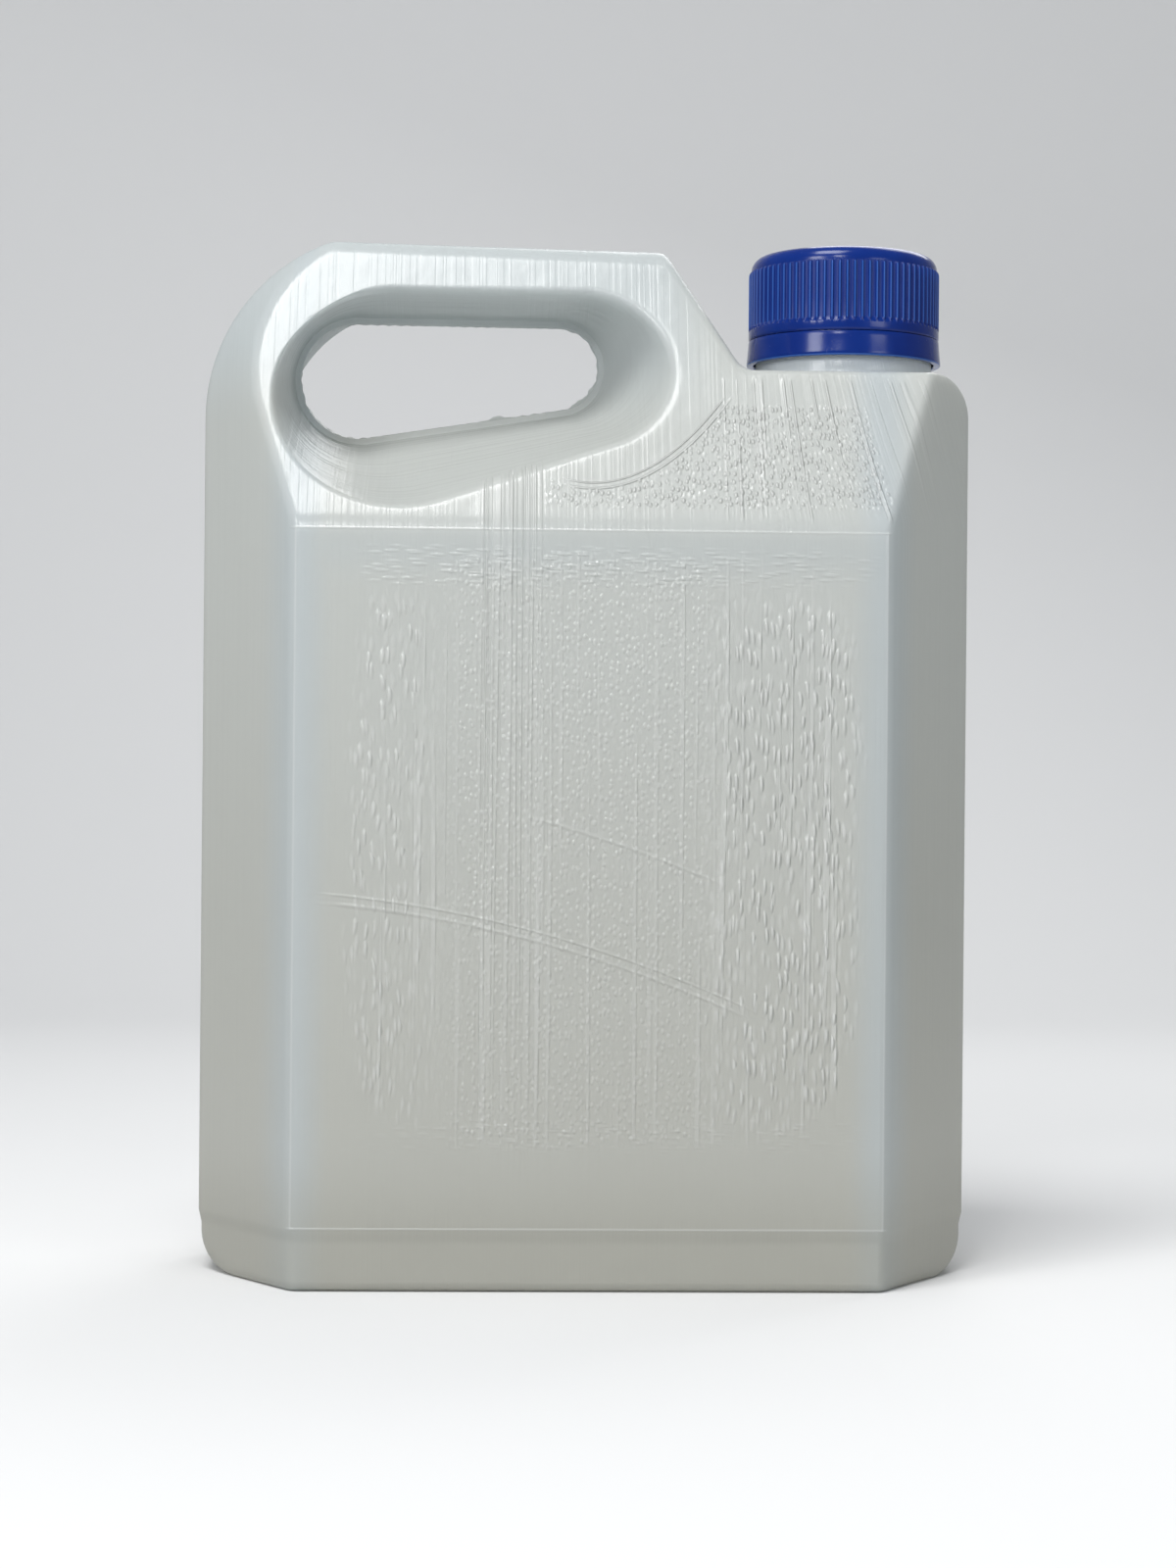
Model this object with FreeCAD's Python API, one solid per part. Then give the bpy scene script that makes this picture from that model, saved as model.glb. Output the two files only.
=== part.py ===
import FreeCAD, Part
import math
import os

from FreeCAD import Vector

# Square plastic jug: a blow-moulded bottle with a through handle, its screw cap and the
# tamper band under the cap. Millimetres, +Z up. The origin is the middle of the base, on the
# surface the jug stands on. The front panel faces -Y and the mould parts on the plane Y = 0.

# --- Body, overall ---------------------------------------------------------------------------
width = 165.2
depth = 88.0
height = 221.5
wall = 1.0

# --- Body, seen from above: flat panels, flat side strips and chamfered corners --------------
chamfer_width = 21.1
side_strip = 25.0

# --- Body, seen from the front: drops are measured down from the top -------------------------
shoulder_drop = 28.3
base_corner_radius = 8.0
shoulder_corner_radius = 8.0
handle_top_fall = 1.4
handle_front_radius = 3.0
slope_run = 16.1
slope_foot_gap = 3.3
slope_foot_radius = 5.0
handle_back_radius = 41.0
handle_back_rise = 2.5
handle_back_corner_radius = 8.0

# --- Body, seen from the side ----------------------------------------------------------------
panel_top_drop = 63.4
wedge_slope = 0.47
crease_radius = 1.5

# --- Foot: the lowest band is set in, with a ramp up to the panels ---------------------------
foot_height = 10.2
foot_ramp = 2.8
foot_inset = 0.6
recess_depth = 2.5
recess_margin = 9.0
recess_draft = 2.0

# --- Hand hole: two round ends joined by straight sides, in a funnel on each face. The grips ---
# --- are the widths of the handle's bars round it; the funnel flares out from it to its mouth. --
grip_back = 19.9
grip_top_back = 16.0
hole_back_radius = 12.7
grip_front = 13.7
grip_top_front = 16.3
hole_front_radius = 9.2
web_width = 1.2
web_thickness = 1.8
mouth_lift = 2.0
mouth_back_in = 15.3
mouth_back_rise = 2.1
mouth_back_flare = 14.9
mouth_front_in = 2.3
mouth_front_rise = 16.9
mouth_front_flare = 10.6
mouth_edge_radius = 3.0

# --- Neck ------------------------------------------------------------------------------------
neck_in = 26.1
neck_radius = 17.6
neck_wall = 1.8
collar_width = 1.7
collar_height = 4.8
collar_ramp = 0.6
ring_height = 1.2
thread_height = 1.0
thread_root_width = 1.8
thread_tip_width = 0.8
thread_pitch = 4.0
thread_turns = 1.75

# --- Cap and tamper band ---------------------------------------------------------------------
cap_wall = 1.4
cap_top_thickness = 1.5
cap_height = 18.4
cap_edge_radius = 3.0
cap_land = 2.1
grip_height = 13.0
rib_count = 80
rib_height = 0.5
rib_tip_width = 0.35
rib_root_width = 0.75
thread_clearance = 0.4
band_gap = 4.2
band_height = 5.15
band_slit = 0.25
band_wall = 1.1
band_flare = 0.4
band_lip = 1.0
band_clearance = 0.5
bridge_count = 12
bridge_width = 0.8

# --- Worked out from the sizes above ---------------------------------------------------------
half_width = width / 2
half_depth = depth / 2
half_panel = half_width - chamfer_width
chamfer_slope = (half_depth - side_strip / 2) / chamfer_width
shoulder_height = height - shoulder_drop
panel_top = height - panel_top_drop
foot_top = foot_height + foot_ramp
cap_inner_radius = neck_radius + thread_height + thread_clearance
groove_radius = cap_inner_radius + cap_wall
cap_radius = groove_radius + rib_height
neck_x = half_width - neck_in
slope_foot_x = neck_x - cap_radius - slope_foot_gap
handle_front_x = slope_foot_x - slope_run
back_centre_x = handle_back_radius - half_width
back_centre_z = height + handle_back_rise - handle_back_radius
handle_back_x = back_centre_x - math.sqrt(
    handle_back_rise * (2 * handle_back_radius - handle_back_rise)
)
handle_top_slope = -handle_top_fall / (handle_front_x - handle_back_x)
band_bottom = shoulder_height + band_gap
cap_bottom = band_bottom + band_height + band_slit
neck_top = cap_bottom + cap_height - cap_top_thickness
band_inner_radius = cap_radius - band_wall
ring_radius = band_inner_radius - band_clearance
collar_radius = neck_radius + collar_width
hole_back = (grip_back + hole_back_radius - half_width, height - grip_top_back - hole_back_radius)
hole_front = (
    handle_front_x - grip_front - hole_front_radius,
    height - grip_top_front - hole_front_radius,
)
mouth_back_radius = hole_back_radius + mouth_back_flare
mouth_front_radius = hole_front_radius + mouth_front_flare
mouth_back = (mouth_back_in + mouth_back_radius - half_width, mouth_back_rise + mouth_back_radius)
mouth_front = (
    handle_front_x + mouth_front_in - mouth_front_radius,
    mouth_front_rise + mouth_front_radius,
)
OUTSIDE = 60.0


def slant(slope):
    """Length along a slanting line for each unit across it."""
    return math.hypot(1.0, slope)


def half_depth_at_wedge(z, inset):
    """Half depth of the sloping shoulder faces at a height."""
    return half_depth - wedge_slope * (z - panel_top) - inset * slant(wedge_slope)


def half_depth_at_chamfer(distance, inset):
    """Half depth of the corner chamfer at a distance in from the outline."""
    return side_strip / 2 + chamfer_slope * distance - inset * slant(chamfer_slope)


def meet(first, second):
    """Point where two lines cross; a line is a point and a direction, each (u, v)."""
    (au, av), (adu, adv) = first
    (bu, bv), (bdu, bdv) = second
    along = ((bu - au) * bdv - (bv - av) * bdu) / (adu * bdv - adv * bdu)
    return (au + along * adu, av + along * adv)


def move_in(corners, insets):
    """Move each side of an anticlockwise polygon inwards; side i starts at corner i."""
    sides = []
    for (u, v), (nu, nv), inset in zip(corners, corners[1:] + corners[:1], insets):
        du, dv = nu - u, nv - v
        length = math.hypot(du, dv)
        sides.append(((u - inset * dv / length, v + inset * du / length), (du, dv)))
    return [meet(sides[i - 1], sides[i]) for i in range(len(sides))]


def rounded_path(points, radii):
    """Straight and round edges through points; the two ends stay as they are."""
    edges = []
    start = points[0]
    for before, corner, after, radius in zip(points, points[1:], points[2:], radii):
        to_before = (before - corner).normalize()
        to_after = (after - corner).normalize()
        if radius == 0:
            edges.append(Part.LineSegment(start, corner).toShape())
            start = corner
            continue
        half_angle = to_before.getAngle(to_after) / 2
        middle = (to_before + to_after).normalize()
        centre = corner + middle * (radius / math.sin(half_angle))
        first = corner + to_before * (radius / math.tan(half_angle))
        last = corner + to_after * (radius / math.tan(half_angle))
        edges.append(Part.LineSegment(start, first).toShape())
        edges.append(Part.Arc(first, centre - middle * radius, last).toShape())
        start = last
    edges.append(Part.LineSegment(start, points[-1]).toShape())
    return edges


def polygon(points):
    """Flat face inside a closed polygon."""
    return Part.Face(Part.makePolygon(points + points[:1]))


def on_front(u, v):
    """Point of the parting plane."""
    return Vector(u, 0, v)


def both_faces(tool):
    """A tool made for the front face, and its mirror image for the back face."""
    return [tool, tool.mirror(Vector(), Vector(0, 1, 0))]


def handle_top_z(x):
    """Height of the handle's top line."""
    return height + handle_top_slope * (x - handle_back_x)


def handle_back_corner(inset):
    """Corner of the handle's round back and its top line, both moved in by the inset."""
    radius = handle_back_radius - inset
    rise = handle_top_z(back_centre_x) - inset * slant(handle_top_slope) - back_centre_z
    drop = rise / slant(handle_top_slope)
    lean = math.atan(handle_top_slope)
    along = math.sqrt(radius * radius - drop * drop) * math.cos(lean) + drop * math.sin(lean)
    return on_front(back_centre_x - along, back_centre_z + rise - handle_top_slope * along)


def front_outline(inset):
    """Outline of the body on the parting plane, moved in by the inset."""
    foot_half = half_width - foot_inset
    corners = [
        (-foot_half, 0),
        (foot_half, 0),
        (foot_half, foot_height),
        (half_width, foot_top),
        (half_width, shoulder_height),
        (slope_foot_x, shoulder_height),
        (handle_front_x, handle_top_z(handle_front_x)),
        (-half_width, handle_top_z(-half_width)),
        (-half_width, foot_top),
        (-foot_half, foot_height),
    ]
    corners = move_in(corners, [inset] * len(corners))
    centre = on_front(back_centre_x, back_centre_z)
    corner_centre = handle_back_corner(handle_back_corner_radius)
    across = (corner_centre - centre).normalize()
    up = Vector(-handle_top_slope, 0, 1).normalize()
    back_start = centre - Vector(handle_back_radius - inset, 0, 0)
    back_middle = centre + (across - Vector(1, 0, 0)).normalize() * (handle_back_radius - inset)
    back_end = centre + across * (handle_back_radius - inset)
    corner_middle = corner_centre + (across + up).normalize() * (handle_back_corner_radius - inset)
    top_start = corner_centre + up * (handle_back_corner_radius - inset)
    base = base_corner_radius - inset
    points = [top_start]
    points += [on_front(*corners[i]) for i in (6, 5, 4, 3, 2, 1, 0, 9, 8)]
    points.append(back_start)
    radii = [
        handle_front_radius - inset,
        slope_foot_radius + inset,
        shoulder_corner_radius - inset,
        0,
        0,
        base,
        base,
        0,
        0,
    ]
    edges = rounded_path(points, radii)
    edges.append(Part.Arc(back_start, back_middle, back_end).toShape())
    edges.append(Part.Arc(back_end, corner_middle, top_start).toShape())
    return Part.Face(Part.Wire(Part.__sortEdges__(edges)))


def plan_section(z, inset):
    """Octagon of front, back and chamfer planes; its side points lie outside the body."""
    beyond = side_strip / 2 / chamfer_slope * 0.8
    point_half = half_depth_at_chamfer(-beyond, 0)
    corners = [
        (-half_panel, -half_depth),
        (half_panel, -half_depth),
        (half_width + beyond, -point_half),
        (half_width + beyond, point_half),
        (half_panel, half_depth),
        (-half_panel, half_depth),
        (-half_width - beyond, point_half),
        (-half_width - beyond, -point_half),
    ]
    insets = [inset, inset, 0, inset, inset, inset, 0, inset]
    points = [Vector(x, y, z) for x, y in move_in(corners, insets)]
    return Part.makePolygon(points + points[:1])


def tower(inset):
    """Front, back and chamfer planes, with the set-in foot, as one tall solid."""
    sections = [
        plan_section(-OUTSIDE, inset + foot_inset),
        plan_section(foot_height, inset + foot_inset),
        plan_section(foot_top, inset),
        plan_section(height + OUTSIDE, inset),
    ]
    return Part.makeLoft(sections, True, True)


def wedge_cut(inset):
    """What lies outside the sloping shoulder face on the front."""
    low = panel_top - 10
    high = height + 10
    points = [
        Vector(-OUTSIDE * 2, -half_depth_at_wedge(low, inset), low),
        Vector(-OUTSIDE * 2, -half_depth_at_wedge(high, inset), high),
        Vector(-OUTSIDE * 2, -half_depth - OUTSIDE, high),
        Vector(-OUTSIDE * 2, -half_depth - OUTSIDE, low),
    ]
    return polygon(points).extrude(Vector(OUTSIDE * 4, 0, 0))


def chamfer_section(start, inwards, far_in, inset):
    """Section of what lies outside the chamfer, from a point of the outline inwards."""

    def place(distance, y):
        return start + inwards * distance + Vector(0, y, 0)

    far_out = 4
    points = [
        place(-far_out, -half_depth_at_chamfer(-far_out, inset)),
        place(far_in, -half_depth_at_chamfer(far_in, inset)),
        place(far_in, -half_depth - OUTSIDE),
        place(-far_out, -half_depth - OUTSIDE),
    ]
    return polygon(points)


def handle_chamfer_cuts(inset):
    """The chamfer carried round the back of the handle and along its top."""
    turn_axis = Vector(0, 1, 0)
    centre = on_front(back_centre_x, back_centre_z)
    corner_centre = handle_back_corner(handle_back_corner_radius)
    across = (corner_centre - centre).normalize()
    down = Vector(handle_top_slope, 0, -1).normalize()
    turn = math.degrees(across.getAngle(-down))
    back = chamfer_section(
        centre - Vector(handle_back_radius, 0, 0), Vector(1, 0, 0), chamfer_width, inset
    )
    corner = chamfer_section(
        corner_centre + across * handle_back_corner_radius,
        -across,
        handle_back_corner_radius - 0.1,
        inset,
    )
    top = chamfer_section(
        on_front(-half_width, handle_top_z(-half_width)), down, chamfer_width, inset
    )
    length = handle_front_x + half_width + 10
    return [
        back.revolve(centre, turn_axis, 90),
        corner.revolve(corner_centre, turn_axis, turn),
        top.extrude(Vector(length, 0, length * handle_top_slope)),
    ]


def two_ended_outline(place, back, back_radius, front, front_radius):
    """Two round ends joined by the straight lines that touch both."""
    du, dv = front[0] - back[0], front[1] - back[1]
    lean = math.atan2(dv, du)
    tilt = math.acos((back_radius - front_radius) / math.hypot(du, dv))

    def on_circle(centre, radius, angle):
        return place(centre[0] + radius * math.cos(angle), centre[1] + radius * math.sin(angle))

    up, down = lean + tilt, lean - tilt
    back_up = on_circle(back, back_radius, up)
    back_down = on_circle(back, back_radius, down)
    front_up = on_circle(front, front_radius, up)
    front_down = on_circle(front, front_radius, down)
    back_end = on_circle(back, back_radius, lean + math.pi)
    front_end = on_circle(front, front_radius, lean)
    edges = [
        Part.Arc(back_up, back_end, back_down).toShape(),
        Part.LineSegment(back_down, front_down).toShape(),
        Part.Arc(front_down, front_end, front_up).toShape(),
        Part.LineSegment(front_up, back_up).toShape(),
    ]
    return Part.Wire(edges)


def funnel(grow, half_web):
    """Funnel on the front, from the web round the hand hole out through the sloping face."""
    wedge_angle = math.atan(wedge_slope)
    up_slope = Vector(0, math.sin(wedge_angle), math.cos(wedge_angle))
    outward = Vector(0, -math.cos(wedge_angle), math.sin(wedge_angle))
    foot = Vector(0, -half_depth, panel_top) + outward * mouth_lift

    def on_web(u, v):
        return Vector(u, -half_web, v)

    def on_mouth(u, v):
        return foot + Vector(u, 0, 0) + up_slope * v

    inner = two_ended_outline(
        on_web,
        hole_back,
        hole_back_radius + web_width + grow,
        hole_front,
        hole_front_radius + web_width + grow,
    )
    outer = two_ended_outline(
        on_mouth,
        mouth_back,
        mouth_back_radius + grow,
        mouth_front,
        mouth_front_radius + grow,
    )
    return Part.makeLoft([inner, outer], True, True)


def base_recess(inset):
    """Shallow recess under the base, inside the standing rim."""
    low = plan_rectangle(-inset, recess_margin - inset)
    top = plan_rectangle(recess_depth + inset, recess_margin + recess_draft - inset)
    return Part.makeLoft([low, top], True, True)


def plan_rectangle(z, margin):
    """Rectangle under the base with its corners cut like the body's."""
    half_x = half_width - margin
    half_y = half_depth - margin
    corners = [
        (-half_x + chamfer_width, -half_y),
        (half_x - chamfer_width, -half_y),
        (half_x, -half_y + chamfer_width),
        (half_x, half_y - chamfer_width),
        (half_x - chamfer_width, half_y),
        (-half_x + chamfer_width, half_y),
        (-half_x, half_y - chamfer_width),
        (-half_x, -half_y + chamfer_width),
    ]
    points = [Vector(x, y, z) for x, y in corners]
    return Part.makePolygon(points + points[:1])


def body(inset):
    """Solid inside the jug's skin, with every face moved in by the inset."""
    front_view = front_outline(inset)
    front_view.translate(Vector(0, -half_depth - OUTSIDE, 0))
    solid = front_view.extrude(Vector(0, depth + 2 * OUTSIDE, 0))
    solid = solid.common(tower(inset))
    for tool in [wedge_cut(inset)] + handle_chamfer_cuts(inset):
        for side in both_faces(tool):
            solid = solid.cut(side)
    return solid.removeSplitter()


def cut_handle(solid, grow, half_web):
    """Cut the hand hole and its funnels."""
    for side in both_faces(funnel(grow, half_web)):
        solid = solid.cut(side)
    return solid.Solids[0]


def hand_hole():
    """The hole itself, right through the web."""
    outline = two_ended_outline(
        on_front, hole_back, hole_back_radius, hole_front, hole_front_radius
    )
    outline.translate(Vector(0, -web_thickness, 0))
    return Part.Face(outline).extrude(Vector(0, 2 * web_thickness, 0))


def middle_of(edge):
    """Point half way along an edge."""
    return edge.valueAt(sum(edge.ParameterRange) / 2)


def is_on_wedge(point):
    """True on either sloping shoulder face."""
    return abs(abs(point.y) - half_depth_at_wedge(point.z, 0)) < 0.05


def bend(solid, edge):
    """Angle in degrees between the two faces that meet at an edge."""
    normals = []
    for face in solid.ancestorsOfType(edge, Part.Face):
        u, v = face.Surface.parameter(middle_of(edge))
        normals.append(face.normalAt(u, v))
    return math.degrees(normals[0].getAngle(normals[-1]))


def mouth_edges(solid):
    """Edges where the funnels run out through the sloping faces."""
    return [
        edge
        for edge in solid.Edges
        if edge.Curve.TypeId == "Part::GeomBSplineCurve"
        and edge.Length > mouth_front_radius
        and is_on_wedge(middle_of(edge))
        and is_on_wedge(edge.Vertexes[0].Point)
    ]


def crease_edges(solid):
    """Sharp edges of the panels and of the base; the parting strip and foot step stay crisp."""
    sharp_angle = 20
    edges = []
    for edge in solid.Edges:
        middle = middle_of(edge)
        on_step = 0.05 < middle.z < foot_top + 0.1
        on_strip = abs(middle.y) < side_strip / 2 - 0.6
        if not on_step and not on_strip and bend(solid, edge) > sharp_angle:
            edges.append(edge)
    return edges


def jug_skin():
    """Outer form of the body, with its edges rounded."""
    solid = cut_handle(body(0), 0, web_thickness / 2)
    solid = solid.makeFillet(mouth_edge_radius, mouth_edges(solid))
    solid = solid.makeFillet(crease_radius, crease_edges(solid))
    return solid.cut([hand_hole(), base_recess(0)]).Solids[0]


def jug_cavity():
    """The space inside the body; it clears the web round the hand hole by the wall."""
    funnel_wall = wall * slant(chamfer_slope) / chamfer_slope
    return cut_handle(body(wall), funnel_wall, 0).cut(base_recess(wall)).Solids[0]


def turned(profile):
    """Solid of revolution about the neck's axis from (radius, z) points."""
    points = [Vector(neck_x + radius, 0, z) for radius, z in profile]
    return polygon(points).revolve(Vector(neck_x, 0, 0), Vector(0, 0, 1), 360)


def screw_thread(root_radius, tip_radius, bottom):
    """Right-hand thread from its root to its tip, sunk a little into its wall."""
    outwards = 1 if tip_radius > root_radius else -1
    sunk = root_radius - outwards * 0.2
    half_root = thread_root_width / 2
    half_tip = thread_tip_width / 2
    middle = bottom + half_root
    profile = Part.makePolygon(
        [
            Vector(sunk, 0, middle - half_root),
            Vector(tip_radius, 0, middle - half_tip),
            Vector(tip_radius, 0, middle + half_tip),
            Vector(sunk, 0, middle + half_root),
            Vector(sunk, 0, middle - half_root),
        ]
    )
    path = Part.makeHelix(thread_pitch, thread_pitch * thread_turns, root_radius)
    path.translate(Vector(0, 0, middle))
    thread = Part.Wire(path).makePipeShell([profile], True, True)
    thread.translate(Vector(neck_x, 0, 0))
    return thread


def neck():
    """Neck with its collar, the ring that holds the tamper band down, and its thread."""
    ring_bottom = cap_bottom - ring_height - band_slit
    root = shoulder_height - wall
    profile = [
        (0, root),
        (collar_radius, root),
        (collar_radius, shoulder_height + collar_height),
        (neck_radius, shoulder_height + collar_height + collar_ramp),
        (neck_radius, ring_bottom),
        (ring_radius, ring_bottom),
        (neck_radius, ring_bottom + ring_height),
        (neck_radius, neck_top),
        (0, neck_top),
    ]
    thread = screw_thread(neck_radius, neck_radius + thread_height, cap_bottom + cap_land)
    return turned(profile).fuse(thread)


def jug():
    """Hollow body and neck in one piece."""
    inner_skin = jug_cavity().Shells[0]
    inner_skin.reverse()
    hollow = Part.makeSolid(Part.Compound([jug_skin().Shells[0], inner_skin]))
    bore_bottom = shoulder_height - 3 * wall
    bore_top = neck_top + 1
    bore_radius = neck_radius - neck_wall
    bore = turned(
        [(0, bore_bottom), (bore_radius, bore_bottom), (bore_radius, bore_top), (0, bore_top)]
    )
    return hollow.fuse(neck()).cut(bore).removeSplitter()


def rib_ring(bottom, rib_length):
    """Ribbed grip of the cap: narrow ribs all the way round."""
    points = []
    step = 2 * math.pi / rib_count
    for i in range(rib_count):
        corners = [
            (-rib_root_width / 2, groove_radius),
            (-rib_tip_width / 2, cap_radius),
            (rib_tip_width / 2, cap_radius),
            (rib_root_width / 2, groove_radius),
        ]
        for across, radius in corners:
            angle = i * step + across / radius
            points.append(
                Vector(neck_x + radius * math.cos(angle), radius * math.sin(angle), bottom)
            )
    return polygon(points).extrude(Vector(0, 0, rib_length))


def cap():
    """Screw cap: rounded top edge, ribbed side, a plain land below and a thread inside."""
    top = cap_bottom + cap_height
    land_top = cap_bottom + cap_land
    crown = turned(
        [(0, land_top), (groove_radius, land_top), (groove_radius, top), (0, top)]
    )
    rim = [edge for edge in crown.Edges if middle_of(edge).z > top - 0.01 and edge.Length > 1]
    crown = crown.makeFillet(min(cap_edge_radius, top - land_top - grip_height - 0.2), rim)
    land = turned([(0, cap_bottom), (cap_radius, cap_bottom), (cap_radius, land_top), (0, land_top)])
    ribs = rib_ring(land_top, grip_height)
    inside = turned(
        [(0, cap_bottom - 1), (cap_inner_radius, cap_bottom - 1), (cap_inner_radius, neck_top), (0, neck_top)]
    )
    thread = screw_thread(
        cap_inner_radius,
        cap_inner_radius - thread_height,
        cap_bottom + cap_land + thread_pitch / 2,
    )
    return crown.fuse([land, ribs]).cut(inside).fuse(thread).removeSplitter()


def tamper_band():
    """Ring under the cap, with a lip under the neck's ring and bridges up to the cap."""
    top = band_bottom + band_height
    lip_top = cap_bottom - ring_height - 2 * band_slit
    lip_radius = band_inner_radius - band_lip
    band = turned(
        [
            (band_inner_radius, band_bottom),
            (cap_radius + band_flare, band_bottom),
            (cap_radius, top),
            (band_inner_radius, top),
            (band_inner_radius, lip_top),
            (lip_radius, lip_top),
            (band_inner_radius, lip_top - 2 * band_lip),
        ]
    )
    sunk = 0.2
    bridge = Part.makeBox(
        band_wall - 2 * sunk,
        bridge_width,
        band_slit + sunk,
        Vector(neck_x + band_inner_radius + sunk, -bridge_width / 2, top - sunk),
    )
    bridges = []
    for i in range(bridge_count):
        one = bridge.copy()
        one.rotate(Vector(neck_x, 0, 0), Vector(0, 0, 1), (i + 0.5) * 360 / bridge_count)
        bridges.append(one)
    return band.fuse(bridges).removeSplitter()


nodes = {"jug": jug, "cap": cap, "tamper_band": tamper_band}

os.makedirs("parts", exist_ok=True)
for name, make in nodes.items():
    shape = make()
    shape.exportStep("parts/" + name + ".step")
    box = shape.optimalBoundingBox(False, False)
    print(
        name, len(shape.Solids), "solid", shape.isValid(), "volume", round(shape.Volume), "mm3",
        "x", round(box.XMin, 2), round(box.XMax, 2),
        "y", round(box.YMin, 2), round(box.YMax, 2),
        "z", round(box.ZMin, 2), round(box.ZMax, 2),
    )
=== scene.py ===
import math

import bmesh
import bpy
import numpy as np
from mathutils import Matrix, Vector
from mathutils.geometry import delaunay_2d_cdt
from mathutils.kdtree import KDTree


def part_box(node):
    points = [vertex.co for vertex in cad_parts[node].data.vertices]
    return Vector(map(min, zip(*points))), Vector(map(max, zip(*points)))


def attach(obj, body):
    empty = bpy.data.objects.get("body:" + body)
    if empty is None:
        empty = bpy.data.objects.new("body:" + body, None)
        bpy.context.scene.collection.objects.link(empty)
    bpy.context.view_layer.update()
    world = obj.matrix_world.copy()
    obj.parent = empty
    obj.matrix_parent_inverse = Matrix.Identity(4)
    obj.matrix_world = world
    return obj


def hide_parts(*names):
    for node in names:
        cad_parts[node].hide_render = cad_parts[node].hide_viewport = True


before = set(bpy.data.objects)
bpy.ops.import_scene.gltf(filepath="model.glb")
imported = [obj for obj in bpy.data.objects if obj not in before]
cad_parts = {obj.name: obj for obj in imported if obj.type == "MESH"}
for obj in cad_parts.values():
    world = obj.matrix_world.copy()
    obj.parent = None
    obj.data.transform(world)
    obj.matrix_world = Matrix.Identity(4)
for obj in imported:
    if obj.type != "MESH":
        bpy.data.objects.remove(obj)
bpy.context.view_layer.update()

MM = 0.001

# --- Sizes in millimetres, as in the part's source; overall sizes come from the frame ---------
JUG_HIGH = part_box("jug")[1] / MM
CAP_LOW, CAP_HIGH = (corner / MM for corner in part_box("cap"))
BAND_LOW, BAND_HIGH = (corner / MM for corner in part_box("tamper_band"))
HALF_WIDTH = JUG_HIGH.x
HALF_DEPTH = JUG_HIGH.y
HEIGHT = 221.5
WALL = 1.0
CHAMFER_WIDTH = 21.1
SIDE_STRIP = 25.0
SHOULDER = 193.2
BASE_CORNER = 8.0
SHOULDER_CORNER = 8.0
HANDLE_FALL = 1.4
HANDLE_FRONT = 16.2
HANDLE_FRONT_ROUND = 3.0
SLOPE_FOOT = 32.3
SLOPE_FOOT_ROUND = 5.0
HANDLE_BACK_ROUND = 41.0
HANDLE_BACK_RISE = 2.5
HANDLE_BACK_CORNER = 8.0
PANEL_TOP = 158.1
WEDGE_SLOPE = 0.47
FOOT_HEIGHT = 10.2
FOOT_TOP = 13.0
FOOT_INSET = 0.6
RECESS_DEPTH = 2.5
RECESS_MARGIN = 9.0
HOLE_BACK = (-50.0, 192.8, 12.7)
HOLE_FRONT = (-6.7, 196.0, 9.2)
WEB_WIDTH = 1.2
HALF_WEB = 0.9
MOUTH_LIFT = 2.0
MOUTH_BACK = (-39.7, 29.7, 27.6)
MOUTH_FRONT = (-1.3, 36.7, 19.8)
NECK_RADIUS = 17.6
NECK_BORE = 15.8
COLLAR_RADIUS = 19.3
COLLAR_HEIGHT = 4.8
COLLAR_RAMP = 0.6
RING_HEIGHT = 1.2
THREAD_HEIGHT = 1.0
THREAD_PITCH = 4.0
THREAD_TURNS = 1.75
THREAD_ROOT = 1.8
THREAD_TIP = 0.8
THREAD_STEPS = 72
CAP_WALL = 1.4
CAP_TOP = 1.5
CAP_EDGE = 3.0
CAP_LAND = 2.1
GRIP_HEIGHT = 13.0
RIB_COUNT = 80
RIB_HEIGHT = 0.5
BAND_SLIT = 0.25
BAND_WALL = 1.1
BAND_LIP = 1.0
BAND_CLEARANCE = 0.5
BRIDGE_COUNT = 12
BRIDGE_WIDTH = 0.8

# The band's top is raised so far that the slit under the cap is barely seen.
SLIT_SHOWN = 0.09

# A thread's root is sunk this far into the wall it stands on.
THREAD_SUNK = 0.2

NECK_X = (CAP_LOW.x + CAP_HIGH.x) / 2
CAP_RADIUS = (CAP_HIGH.x - CAP_LOW.x) / 2
BAND_RADIUS = (BAND_HIGH.x - BAND_LOW.x) / 2
CHAMFER_SLOPE = (HALF_DEPTH - SIDE_STRIP / 2) / CHAMFER_WIDTH
BACK_CENTRE = np.array([HANDLE_BACK_ROUND - HALF_WIDTH, HEIGHT + HANDLE_BACK_RISE - HANDLE_BACK_ROUND])
HANDLE_BACK_X = BACK_CENTRE[0] - math.sqrt(HANDLE_BACK_RISE * (2 * HANDLE_BACK_ROUND - HANDLE_BACK_RISE))
HANDLE_TOP_SLOPE = -HANDLE_FALL / (HANDLE_FRONT - HANDLE_BACK_X)

# Roundings where the front turns over into the strip: along the handle's slope and the base, along the
# shoulder, along the other sides, and at the rim of the funnel.
EDGE_ROUND = 2.2
SHOULDER_ROUND = 1.2
STRIP_ROUND = 0.7
RIM_ROUND = 3.4
SLOPE_AND_BASE = (1, 6)
SHOULDER_SIDE = 2

# Widths over which two faces blend at a crease, and the depth over which the base recess falls.
SHOULDER_BLEND = 1.2
CHAMFER_BLEND = 1.8
RECESS_DRAFT = 2.0

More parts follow.
